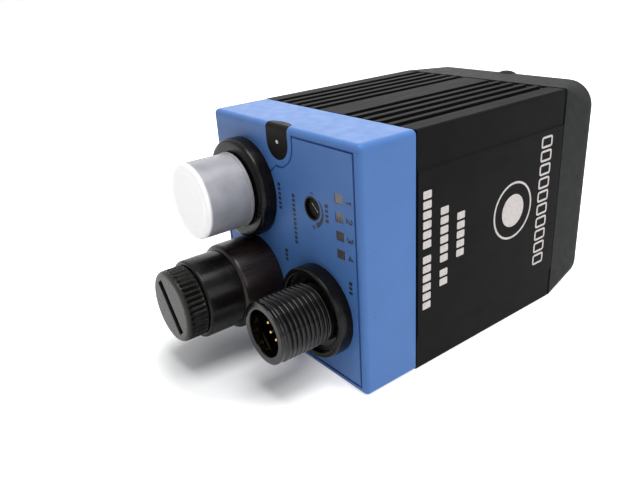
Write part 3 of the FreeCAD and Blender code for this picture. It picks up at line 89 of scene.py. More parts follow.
# Lamps: name, place, what it faces, size, and which power it takes.
LAMPS = (
    ("light_above", (0.06, -0.02, 0.42), (0.0, 0.0, 0.02), 0.22, "key"),
    ("light_side", (0.40, 0.03, 0.20), (0.0, 0.0, 0.02), 0.20, "side"),
    ("light_far", (-0.33, 0.25, 0.20), (0.0, 0.0, 0.03), 0.30, "far"),
)

# Floor: half its width, its drop under the object, the middle and reach of the shadow, and how white it
# turns from there: share of the reach, strength.
FLOOR_REACH = 3.0
FLOOR_DROP = 0.00002
SHADOW_MIDDLE = (-0.005, -0.045, 0.0)
SHADOW_REACH = 0.13
FLOOR_GLOW = ((0.05, 0.04), (0.10, 0.14), (0.135, 0.40), (0.165, 0.64), (0.30, 0.78), (1.0, 1.0))

# Labels on the rear cap, as columns of blocks: x, z of the first block, number of blocks.
FACE_LABELS = ((-0.0005, 0.0357, 6), (0.0039, 0.0345, 11), (0.0002, 0.0224, 3), (0.0192, 0.0221, 3),
               (0.0136, 0.0349, 4))
FACE_BLOCK_PITCH = 0.00092

# Numbers beside the status windows: x, the height of each number's place, size of a number.
NUMBER_X = 0.0189
NUMBER_PLACES = (0.03745, 0.03408, 0.03071, 0.02734)
NUMBER_SIZE = 0.00135

# Lines of blocks on the side: y, z of the first block, blocks in each group.
SIDE_LINES = ((-0.0192, 0.0127, (6, 6)), (-0.0147, 0.0161, (2, 6)), (-0.0102, 0.0206, (5,)))
SIDE_BLOCK_PITCH = 0.00188
SIDE_GROUP_GAP = 0.0011

# Frames in a row on the side: number, y, z of the first, pitch.
SIDE_FRAMES = (10, 0.0155, 0.0115, 0.00288)
SIDE_SIGN = (0.0055, 0.0254)


# ---- sizes and colours a user would change -----------------------------------------------------------

def length(name, description, default):
    return bpy.props.FloatProperty(
        name=name, description=description, default=default, subtype="DISTANCE", unit="LENGTH",
        precision=5, min=0.0)


def tint(name, description, default):
    return bpy.props.FloatVectorProperty(
        name=name, description=description, default=default, subtype="COLOR", size=3, min=0.0, max=1.0)


class VisionSizes(bpy.types.PropertyGroup):
    """Sizes of the turned, knurled and printed details, in metres."""

    thread_radius: length("Thread radius", "Outer radius of the M12 threads", 0.006)
    thread_pitch: length("Thread pitch", "Pitch of the data tube's thread", 0.001)
    thread_depth: length("Thread depth", "Depth of the data tube's thread", 0.00052)
    tube_bore: length("Tube bore", "Bore radius of the data tube", 0.00445)
    collar_recess: length("Collar recess", "Depth of the recess in a collar's front", 0.0012)
    collar_recess_radius: length("Recess radius", "Radius of the recess in a collar's front", 0.0077)
    rib_depth: length("Rib depth", "Depth of the hollows between the blanking plug's ribs", 0.00042)
    slot_width: length("Plug slot width", "Width of the blanking plug's slot", 0.0021)
    slot_reach: length("Plug slot reach", "Half length of the blanking plug's slot", 0.0056)
    slot_depth: length("Plug slot depth", "Depth of the blanking plug's slot", 0.0014)
    pin_radius: length("Pin radius", "Radius of a data pin", 0.0004)
    print_height: length("Print height", "Height of printed marks over the surface", 0.00003)
    cover_seam_corner: length(
        "Cover corner at the seam", "Corner radius of the cover where it meets the body", 0.0006)
    cover_front_corner: length("Cover corner at the front", "Corner radius of the cover at its front", 0.0056)
    cover_edge: length("Cover front edge", "Rounding of the cover's front edge", 0.0026)
    cover_gap: length("Cover gap", "Width and depth of the shadow gap at the cover's seam", 0.0007)
    cover_opening: length("Window opening", "Radius of the opening before the window", 0.0132)
    focus_slot_width: length("Focus slot width", "Width of the focus screw's slot", 0.0004)
    focus_slot_depth: length("Focus slot depth", "Depth of the focus screw's slot", 0.0005)
    rib_count: bpy.props.IntProperty(
        name="Ribs", description="Ribs round the blanking plug", default=40, min=8)


class VisionColours(bpy.types.PropertyGroup):
    """Colours of the finishes, scene linear."""

    cap: tint("Rear cap", "Moulded blue plastic", (0.085, 0.220, 0.56))
    body: tint("Housing", "Black anodised extrusion", (0.010, 0.010, 0.010))
    cover: tint("Front cover", "Black painted casting", (0.026, 0.027, 0.0275))
    fitting: tint("Fittings", "Black plastic of the connectors", (0.0055, 0.0045, 0.0042))
    # The dust cap's skirt takes this grey; its near-white, glowing end is painted light.
    dust_cap: tint("Dust cap", "Milky white plastic", (0.37, 0.37, 0.405))
    side_print: tint("Side print", "Warm white print", (0.80, 0.74, 0.72))
    face_print: tint("Face print", "Dark print on the rear cap", (0.010, 0.014, 0.030))
    pins: tint("Pins", "Gold plating", (0.86, 0.62, 0.24))


class VisionStage(bpy.types.PropertyGroup):
    """Place of the camera and strength of the lights."""

    lens: bpy.props.FloatProperty(
        name="Lens", description="Focal length of the camera", default=35.826, subtype="DISTANCE_CAMERA")
    place: bpy.props.FloatVectorProperty(
        name="Place", description="Where the camera stands", default=(0.094394, -0.096261, 0.072656),
        subtype="TRANSLATION", precision=6)
    azimuth: bpy.props.FloatProperty(
        name="Azimuth", description="Direction of the camera round the object", subtype="ANGLE",
        default=math.radians(53.2994))
    elevation: bpy.props.FloatProperty(
        name="Elevation", description="Height of the camera over the horizon", subtype="ANGLE",
        default=math.radians(23.3349))
    roll: bpy.props.FloatProperty(
        name="Roll", description="Tilt of the camera about its own axis", subtype="ANGLE",
        default=math.radians(-3.6206))
    key: bpy.props.FloatProperty(
        name="Key light", description="Power of the light above", default=1.35, unit="POWER")
    side: bpy.props.FloatProperty(
        name="Side light", description="Power of the light at the side", default=0.30, unit="POWER")
    far: bpy.props.FloatProperty(
        name="Far light", description="Power of the low light behind the object", default=0.26, unit="POWER")
    sky: bpy.props.FloatProperty(
        name="Sky", description="Strength of the light all round", default=0.26, min=0.0)


# ---- surfaces ------------------------------------------------------------------------------------------

def grid_faces(rows, columns, close_rows=False, close_columns=False):
    """Quads of a rows by columns grid: corner (i, j), (i, j+1), (i+1, j+1), (i+1, j)."""
    i = np.arange(rows if close_rows else rows - 1)[:, None]
    j = np.arange(columns if close_columns else columns - 1)[None, :]
    i2, j2 = (i + 1) % rows, (j + 1) % columns
    quads = np.stack([i * columns + j, i * columns + j2, i2 * columns + j2, i2 * columns + j], axis=-1)
    return quads.reshape(-1, 4)


def piece(name, shapes, material, body, sharp=35.0, replaces=()):
    """Joins (points, faces) pairs into one mesh, welds its seams and lets it ride on a body."""
    points, faces, start = [], [], 0
    for shape_points, shape_faces in shapes:
        flat = np.asarray(shape_points, float).reshape(-1, 3)
        points.append(flat)
        faces.append(np.asarray(shape_faces) + start)
        start += len(flat)
    mesh = bpy.data.meshes.new(name)
    mesh.from_pydata(np.concatenate(points), [], [face for group in faces for face in group.tolist()])
    weld = bmesh.new()
    weld.from_mesh(mesh)
    bmesh.ops.remove_doubles(weld, verts=weld.verts, dist=1e-7)
    bmesh.ops.dissolve_degenerate(weld, edges=weld.edges, dist=1e-8)
    bmesh.ops.recalc_face_normals(weld, faces=weld.faces)
    weld.to_mesh(mesh)
    weld.free()
    mesh.shade_smooth()
    mesh.set_sharp_from_angle(angle=math.radians(sharp))
    mesh.materials.append(material)
    shape = bpy.data.objects.new(name, mesh)
    bpy.context.scene.collection.objects.link(shape)
    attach(shape, body)
    if replaces:
        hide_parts(*replaces)
    return shape


def section_rows(rows):
    """Rows of points in space from (outline, y) pairs: each outline's (x, z) points stand at its y."""
    return np.stack([np.column_stack([line[:, 0], np.full(len(line), y), line[:, 1]]) for line, y in rows])


def axis_of(node):
    """Centre line of a turned node that lies along Y: its x and z, and its two ends."""
    low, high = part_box(node)
    return (low[0] + high[0]) / 2, (low[2] + high[2]) / 2, low[1], high[1]


def radius_of(node):
    """Outer radius of a turned node: half its width."""
    low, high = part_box(node)
    return (high[0] - low[0]) / 2


def softened(corners, cuts, steps=5):
    """Rounds a profile: corner B turns into the curve (1-t)^2 A + 2t(1-t) B + t^2 C, with A and C on its
    two sides at the cut distance."""
    corner = np.asarray(corners, float)
    cut = np.asarray(cuts, float)[:, None]
    to_last = np.roll(corner, 1, axis=0) - corner
    to_next = np.roll(corner, -1, axis=0) - corner
    start = corner + to_last / np.linalg.norm(to_last, axis=1, keepdims=True).clip(1e-9) * cut
    end = corner + to_next / np.linalg.norm(to_next, axis=1, keepdims=True).clip(1e-9) * cut
    t = np.linspace(0.0, 1.0, steps)[None, :, None]
    curve = (1 - t) ** 2 * start[:, None] + 2 * t * (1 - t) * corner[:, None] + t ** 2 * end[:, None]
    return curve.reshape(-1, 2)


def turned(centre_x, centre_z, profile, segments=96, ripple=None):
    """Profile of (radius, y) turned about the line x, z along Y: x + r sin a, y, z + r cos a.
    ripple(radius, y, a) gives the radius of a surface that isn't round."""
    angle = np.linspace(0.0, 2 * math.pi, segments, endpoint=False)[None, :]
    radius = profile[:, :1] + 0 * angle
    y = profile[:, 1:] + 0 * angle
    if ripple is not None:
        radius = ripple(radius, y, angle)
    points = np.stack([centre_x + radius * np.sin(angle), y, centre_z + radius * np.cos(angle)], axis=-1)
    return points, grid_faces(len(profile), segments, close_columns=True)


def closed_turned(centre_x, centre_z, profile, segments=96, ripple=None):
    """As turned, for a profile that closes on itself."""
    points, _ = turned(centre_x, centre_z, profile, segments, ripple)
    return points, grid_faces(len(profile), segments, close_rows=True, close_columns=True)


def plate(place, outline, height):
    """Flat mark: the outline's (u, v) points fanned from their middle, lifted by height, with a rim down
    to the surface. place(u, v, h) gives the points in space."""
    outline = np.asarray(outline, float)
    count = len(outline)
    middle = outline.mean(axis=0, keepdims=True)
    u, v = outline[:, 0], outline[:, 1]
    points = np.stack([
        place(np.repeat(middle[:, 0], count), np.repeat(middle[:, 1], count), height),
        place(u, v, height),
        place(u, v, 0.0),
    ])
    return points, grid_faces(3, count, close_columns=True)


def band(place, path, half_width, height, closed=False):
    """Line of print: the path's (u, v) points spread by half_width along their normals on both sides,
    lifted by height, with edges down to the surface."""
    path = np.asarray(path, float)
    if closed:
        along = np.roll(path, -1, axis=0) - np.roll(path, 1, axis=0)
    else:
        along = np.gradient(path, axis=0)
    along /= np.linalg.norm(along, axis=1, keepdims=True).clip(1e-12)
    normal = np.stack([-along[:, 1], along[:, 0]], axis=1) * np.reshape(half_width, (-1, 1))
    left, right = path + normal, path - normal
    rows = [(left, 0.0), (left, height), (right, height), (right, 0.0)]
    points = np.stack([place(side[:, 0], side[:, 1], lift) for side, lift in rows], axis=1)
    return points, grid_faces(len(path), 4, close_rows=closed)


def bar(u, v, half_u, half_v, corner, steps=4):
    """Outline of a rectangle with rounded corners, centre (u, v)."""
    corners = [(u - half_u, v - half_v), (u + half_u, v - half_v),
               (u + half_u, v + half_v), (u - half_u, v + half_v)]
    return softened(corners, [corner] * 4, steps)


def arc(u, v, radius, start, end, count):
    """Points on a circle from one angle to another, in degrees: u + r cos a, v + r sin a."""
    angle = np.radians(np.linspace(start, end, count))
    return np.stack([u + radius * np.cos(angle), v + radius * np.sin(angle)], axis=1)


# ---- finishes ------------------------------------------------------------------------------------------

class Finish:
    """A material built from the shader's nodes. Patterns read Object coordinates, in metres."""

    def __init__(self, name, rough, metallic=0.0, **constants):
        self.material = bpy.data.materials.new(name)
        self.material.use_nodes = True
        self.nodes = self.material.node_tree.nodes
        self.links = self.material.node_tree.links
        self.shader = self.nodes["Principled BSDF"]
        self.shader.inputs["Roughness"].default_value = rough
        self.shader.inputs["Metallic"].default_value = metallic
        for socket, value in constants.items():
            self.shader.inputs[socket.replace("_", " ")].default_value = value
        self.place = self.nodes.new("ShaderNodeTexCoord").outputs["Object"]

    def stretched(self, scale, turn=(0.0, 0.0, 0.0)):
        """Object coordinates, turned and stretched."""
        mapping = self.nodes.new("ShaderNodeMapping")
        mapping.inputs["Rotation"].default_value = turn
        mapping.inputs["Scale"].default_value = scale
        self.links.new(self.place, mapping.inputs["Vector"])
        return mapping.outputs["Vector"]

    def noise(self, scale, detail=3.0, where=None):
        node = self.nodes.new("ShaderNodeTexNoise")
        node.inputs["Scale"].default_value = scale
        node.inputs["Detail"].default_value = detail
        node.inputs["Distortion"].default_value = 0.0
        self.links.new(where or self.place, node.inputs["Vector"])
        return node.outputs["Fac"]

    def cells(self, scale, randomness=1.0):
        node = self.nodes.new("ShaderNodeTexVoronoi")
        node.inputs["Scale"].default_value = scale
        node.inputs["Randomness"].default_value = randomness
        self.links.new(self.place, node.inputs["Vector"])
        return node.outputs["Distance"]

    def ramp(self, source, stops):
        node = self.nodes.new("ShaderNodeValToRGB")
        node.color_ramp.interpolation = "LINEAR"
        while len(node.color_ramp.elements) < len(stops):
            node.color_ramp.elements.new(0.5)
        for element, (position, colour) in zip(node.color_ramp.elements, stops):
            element.position = position
            element.color = (*colour, 1.0) if len(colour) == 3 else colour
        self.links.new(source, node.inputs["Fac"])
        return node.outputs["Color"]

    def span(self, source, low, high, out_low, out_high):
        """Source from low to high, mapped to out_low to out_high and held there."""
        node = self.nodes.new("ShaderNodeMapRange")
        limits = (low, high, out_low, out_high)
        for socket, value in zip(("From Min", "From Max", "To Min", "To Max"), limits):
            node.inputs[socket].default_value = value
        self.links.new(source, node.inputs["Value"])
        return node.outputs["Result"]

    def mix(self, factor, first, second, blend="MIX"):
        node = self.nodes.new("ShaderNodeMix")
        node.data_type = "RGBA"
        node.blend_type = blend
        for socket, value in ((node.inputs[0], factor), (node.inputs[6], first), (node.inputs[7], second)):
            if isinstance(value, bpy.types.NodeSocket):
                self.links.new(value, socket)
            elif isinstance(value, (int, float)):
                socket.default_value = value
            else:
                socket.default_value = (*value, 1.0)
        return node.outputs[2]

    def math(self, operation, first, second):
        node = self.nodes.new("ShaderNodeMath")
        node.operation = operation
        for socket, value in zip(node.inputs, (first, second)):
            if isinstance(value, bpy.types.NodeSocket):
                self.links.new(value, socket)
            else:
                socket.default_value = value
        return node.outputs[0]

    def axis(self, letter):
        node = self.nodes.new("ShaderNodeSeparateXYZ")
        self.links.new(self.place, node.inputs[0])
        return node.outputs[letter]

    def colour(self, source):
        self.links.new(source, self.shader.inputs["Base Color"])
        return self

    def glow(self, first, last, strength):
        """Painted light: emission that makes a milky end glow as if lit through, full at y = first, none from
        y = last.
        """
        self.shader.inputs["Emission Color"].default_value = (1.0, 0.985, 0.98, 1.0)
        share = self.span(self.axis("Y"), first, last, strength, 0.0)
        self.links.new(share, self.shader.inputs["Emission Strength"])

    def rough(self, source):
        self.links.new(source, self.shader.inputs["Roughness"])
        return self

    def bump(self, source, height):
        """Adds a bump; several bumps follow on from each other."""
        node = self.nodes.new("ShaderNodeBump")
        node.inputs["Distance"].default_value = height
        node.inputs["Strength"].default_value = 1.0
        self.links.new(source, node.inputs["Height"])
        normal = self.shader.inputs["Normal"]
        if normal.links:
            self.links.new(normal.links[0].from_socket, node.inputs["Normal"])
        self.links.new(node.outputs["Normal"], normal)
        return self


def shaded(colour, factor):
    return tuple(min(1.0, channel * factor) for channel in colour)


def moulded(name, colour, rough, grain=9000.0, grain_height=0.000004, contrast=0.12, mottle=260.0,
            **constants):
    """Moulded plastic: colour that drifts a little over the surface, and a fine spark-eroded grain."""
    finish = Finish(name, rough, **constants)
    drift = finish.noise(mottle, 4.0)
    tones = [(0.3, shaded(colour, 1 - contrast)), (0.7, shaded(colour, 1 + contrast))]
    finish.colour(finish.ramp(drift, tones))
    finish.rough(finish.span(finish.noise(mottle * 3, 3.0), 0.3, 0.7, rough - 0.05, rough + 0.06))
    finish.bump(finish.noise(grain, 2.0), grain_height)
    return finish


def anodised(name, colour, rough, along=(1.0, 0.02, 1.0), scale=5200.0, height=0.000003, **constants):
    """Anodised metal: draw lines stretched along one axis, over a slow drift of colour."""
    finish = Finish(name, rough, **constants)
    lines = finish.noise(scale, 2.0, finish.stretched(along))
    drift = finish.noise(180.0, 3.0)
    tone = finish.ramp(drift, [(0.3, shaded(colour, 0.85)), (0.7, shaded(colour, 1.15))])
    streak = finish.ramp(lines, [(0.35, shaded((1, 1, 1), 0.82)), (0.65, (1, 1, 1))])
    finish.colour(finish.mix(1.0, tone, streak, "MULTIPLY"))
    finish.rough(finish.span(lines, 0.3, 0.7, rough - 0.06, rough + 0.08))
    finish.bump(lines, height)
    return finish


def plated(name, colour, rough, scale=2400.0, **constants):
    """Plated or bare metal: fine wear marks in the roughness and a slight drift of colour."""
    finish = Finish(name, rough, metallic=1.0, **constants)
    drift = finish.noise(700.0, 3.0)
    finish.colour(finish.ramp(drift, [(0.3, shaded(colour, 0.86)), (0.7, colour)]))
    finish.rough(finish.span(finish.noise(scale, 4.0), 0.3, 0.7, rough * 0.75, rough * 1.4))
    finish.bump(finish.noise(scale * 3, 2.0), 0.000001)
    return finish


def dust(finish, colour, scale, reach):
    """Adds a few specks of dust to a finish's colour."""
    specks = finish.span(finish.cells(scale), reach, reach * 0.6, 0.0, 1.0)
    few = finish.span(finish.noise(900.0, 0.0), 0.62, 0.64, 0.0, 1.0)
    shown = finish.math("MULTIPLY", specks, few)
    base = finish.shader.inputs["Base Color"].links[0].from_socket
    return finish.colour(finish.mix(shown, base, colour))


def finishes():
    """Every finish of the object, by the name of its material slot."""
    colours = bpy.context.scene.vision_colours
    made = {}

    cap = moulded("cap_blue_plastic", tuple(colours.cap), 0.42, grain=5200.0, grain_height=0.000001,
                  contrast=0.03, mottle=150.0, Specular_IOR_Level=0.3)
    made["cap_blue"] = dust(cap, shaded(tuple(colours.cap), 0.45), 300.0, 0.05)
    body = anodised("housing_anodised", tuple(colours.body), 0.55, Specular_IOR_Level=0.04)
    made["body_black"] = dust(body, (0.35, 0.36, 0.36), 340.0, 0.022)
    cover = moulded("cover_paint", tuple(colours.cover), 0.6, grain=7000.0, grain_height=0.000005,
                    contrast=0.10, Specular_IOR_Level=0.08)
    made["cover_black"] = cover
    made["insert_black"] = moulded("notch_insert_plastic", (0.0045, 0.003, 0.0025), 0.45,
                                   Specular_IOR_Level=0.08)
    made["seal_rubber"] = moulded("seal_rubber", (0.010, 0.010, 0.010), 0.7, contrast=0.2)
    fitting = moulded("fitting_plastic", tuple(colours.fitting), 0.24, grain=4200.0, contrast=0.25,
                      Specular_IOR_Level=0.16)
    made["collar_black"] = fitting
    made["thread_black"] = moulded("thread_plastic", shaded(tuple(colours.fitting), 0.8), 0.13, contrast=0.3,
                                   Specular_IOR_Level=0.3)
    plug_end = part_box("blanking_plug")[0][1]
    plug = moulded("plug_plastic", (0.005, 0.005, 0.004), 0.3, grain=5200.0, contrast=0.2,
                   Specular_IOR_Level=0.14)
    # The plug's end face is painted paler: a painted sheen.
    made["plug_black"] = painted_end_light(plug, (0.055, 0.055, 0.050), plug_end + 0.0001, plug_end + 0.0007)
    made["screw_black"] = moulded("blackened_brass", (0.004, 0.004, 0.004), 0.4, Specular_IOR_Level=0.1)
    # Slot floor of the focus screw: bare brass, pale enough to be a painted glint as well.
    made["slot_bright"] = plated("bare_brass", (0.95, 0.88, 0.74), 0.35)
    # Warm dark brown: partly the barrel's tone, partly its painted warm sheen.
    made["barrel_plastic"] = striated("network_barrel_plastic", (0.017, 0.011, 0.0105), 0.3)
    made["light_case"] = moulded("light_case_ceramic", (0.75, 0.75, 0.72), 0.5, contrast=0.05)
    made["nickel"] = plated("nickel_plate", (0.62, 0.61, 0.58), 0.28)
    made["carrier_black"] = moulded("carrier_plastic", (0.010, 0.010, 0.011), 0.4)
    made["gold"] = plated("gold_plate", tuple(colours.pins), 0.22)
    cap_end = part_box("dust_cap")[0][1]
    # Painted light: the cap's end is painted near white and glows, against the greyer skirt.
    made["cap_white"] = painted_end_light(milky("dust_cap_plastic", tuple(colours.dust_cap)), (0.98, 0.955, 0.95),
                                 cap_end + 0.0003, cap_end + 0.0009)
    made["cap_white"].glow(cap_end + 0.0003, cap_end + 0.0010, 0.30)
    made["brass"] = plated("turned_brass", (0.72, 0.52, 0.24), 0.3)
    made["steel"] = plated("zinc_steel", (0.30, 0.30, 0.31), 0.32)
    made["holder_aluminium"] = anodised("holder_anodised", (0.34, 0.34, 0.35), 0.42, Metallic=1.0)
    made["barrel_black"] = ringed("barrel_anodised", (0.02, 0.02, 0.022), 0.38)
    made["lens_glass"] = glass("lens_coated_glass", (0.72, 0.80, 0.95), (0.30, 0.42, 0.85))
    made["window_glass"] = glass("window_glass", (0.93, 0.96, 0.95), (0.60, 0.75, 0.70))
    made["board_green"] = board_lacquer("board_lacquer")
    made["led_yellow"] = moulded("light_phosphor", (0.86, 0.74, 0.26), 0.35, contrast=0.1, mottle=1500.0)
    made["sensor_dark"] = sensor_face("sensor_cover_glass")
    made["chip_black"] = moulded("chip_mould", (0.018, 0.018, 0.019), 0.55, grain=11000.0)
    made["pipe_smoke"] = smoked("status_window_plastic")
    made["side_print"] = printed("side_print", tuple(colours.side_print), 0.5)
    made["face_print"] = printed("face_print", tuple(colours.face_print), 0.45)
    return {slot: finish.material for slot, finish in made.items()}


def painted_end_light(finish, colour, first, last):
    """Paints light on a finish's end: turns it to another colour towards the rear, fully at y = first, not at
    all from y = last.
    """
    share = finish.span(finish.axis("Y"), first, last, 1.0, 0.0)
    base = finish.shader.inputs["Base Color"].links[0].from_socket
    return finish.colour(finish.mix(share, base, colour))


def milky(name, colour):
    """Thin milky plastic: light scatters inside it, with a faint mottling and scuffs."""
    finish = Finish(name, 0.34, Subsurface_Weight=0.25, Subsurface_Scale=0.0015, Transmission_Weight=0.0)
    finish.shader.inputs["Subsurface Radius"].default_value = (1.0, 1.0, 1.0)
    drift = finish.noise(240.0, 5.0)
    finish.colour(finish.ramp(drift, [(0.3, shaded(colour, 0.80)), (0.7, shaded(colour, 1.06))]))
    finish.rough(finish.span(finish.noise(1500.0, 4.0), 0.3, 0.7, 0.26, 0.46))
    finish.bump(finish.noise(2600.0, 3.0), 0.000004)
    return finish


def striated(name, colour, rough):
    """Plastic with fine scores along Y; its warm colour is partly the plastic's tone and partly a painted
    warm sheen.
    """
    return anodised(name, colour, rough, along=(1.0, 0.06, 1.0), scale=3000.0, height=0.000012,
                    Specular_IOR_Level=0.28)


def ringed(name, colour, rough):
    """Turned and anodised metal: fine rings along Y."""
    return anodised(name, colour, rough, along=(0.05, 1.0, 0.05), scale=6500.0, height=0.000005)


def glass(name, colour, painted_grazing_tint):
    """Coated optical glass; its tint where it is seen at a grazing angle is a painted reflection."""
    finish = Finish(name, 0.02, Transmission_Weight=1.0, IOR=1.5, Specular_IOR_Level=0.06)
    weight = finish.nodes.new("ShaderNodeLayerWeight")
    weight.inputs["Blend"].default_value = 0.4
    tone = finish.ramp(weight.outputs["Facing"], [(0.0, colour), (1.0, painted_grazing_tint)])
    smear = finish.ramp(finish.noise(300.0, 3.0), [(0.3, (0.94, 0.94, 0.94)), (0.7, (1.0, 1.0, 1.0))])
    finish.colour(finish.mix(1.0, tone, smear, "MULTIPLY"))
    return finish


def board_lacquer(name):
    """Circuit board: green lacquer with tracks that show through as slightly paler, raised lines."""
    finish = Finish(name, 0.32, Coat_Weight=0.3, Coat_Roughness=0.1)
    tracks = finish.nodes.new("ShaderNodeTexBrick")
    tracks.offset = 0.37
    tracks.inputs["Scale"].default_value = 320.0
    tracks.inputs["Mortar Size"].default_value = 0.035
    tracks.inputs["Brick Width"].default_value = 0.9
    tracks.inputs["Row Height"].default_value = 0.22
    finish.links.new(finish.stretched((1.0, 1.0, 1.0), turn=(math.pi / 2, 0.0, 0.0)), tracks.inputs["Vector"])
    lines = finish.span(tracks.outputs["Fac"], 0.0, 1.0, 0.0, 1.0)
    finish.colour(finish.mix(lines, (0.012, 0.085, 0.040), (0.030, 0.19, 0.085)))
    finish.bump(lines, 0.00001)
    return finish


def sensor_face(name):
    """Image sensor under its cover glass: a dark, faintly iridescent field of cells."""
    finish = Finish(name, 0.12, Coat_Weight=0.6, Coat_Roughness=0.03)
    cell = finish.cells(3000.0, 0.0)
    finish.colour(finish.ramp(cell, [(0.2, (0.03, 0.035, 0.06)), (0.6, (0.09, 0.07, 0.11))]))
    finish.bump(cell, 0.000002)
    return finish


def smoked(name):
    """Smoked light pipe: dark brown with paler upright ribs behind its surface."""
    finish = Finish(name, 0.25, Coat_Weight=0.4, Coat_Roughness=0.08)
    ribs = finish.nodes.new("ShaderNodeTexWave")
    ribs.wave_type = "BANDS"
    ribs.bands_direction = "X"
    ribs.inputs["Scale"].default_value = 460.0
    ribs.inputs["Distortion"].default_value = 0.6
    finish.links.new(finish.place, ribs.inputs["Vector"])
    drift = finish.noise(900.0, 2.0)
    tone = finish.ramp(ribs.outputs["Fac"], [(0.2, (0.040, 0.024, 0.024)), (0.8, (0.115, 0.080, 0.082))])
    finish.colour(finish.mix(finish.span(drift, 0.35, 0.65, 0.0, 0.5), tone, (0.05, 0.035, 0.03)))
    return finish


def printed(name, colour, rough):
    """Screen print: opaque ink with a slightly broken surface."""
    finish = Finish(name, rough)
    cover = finish.noise(1800.0, 3.0)
    finish.colour(finish.ramp(cover, [(0.3, shaded(colour, 0.82)), (0.6, colour)]))
    finish.bump(finish.noise(6000.0, 2.0), 0.000002)
    return finish


MATERIALS = {}


def dress(node, slot):
    """Puts a finish on a CAD node."""
    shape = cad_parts[node]
    for place in shape.material_slots:
        place.material = MATERIALS[slot]


# ---- stage ---------------------------------------------------------------------------------------------

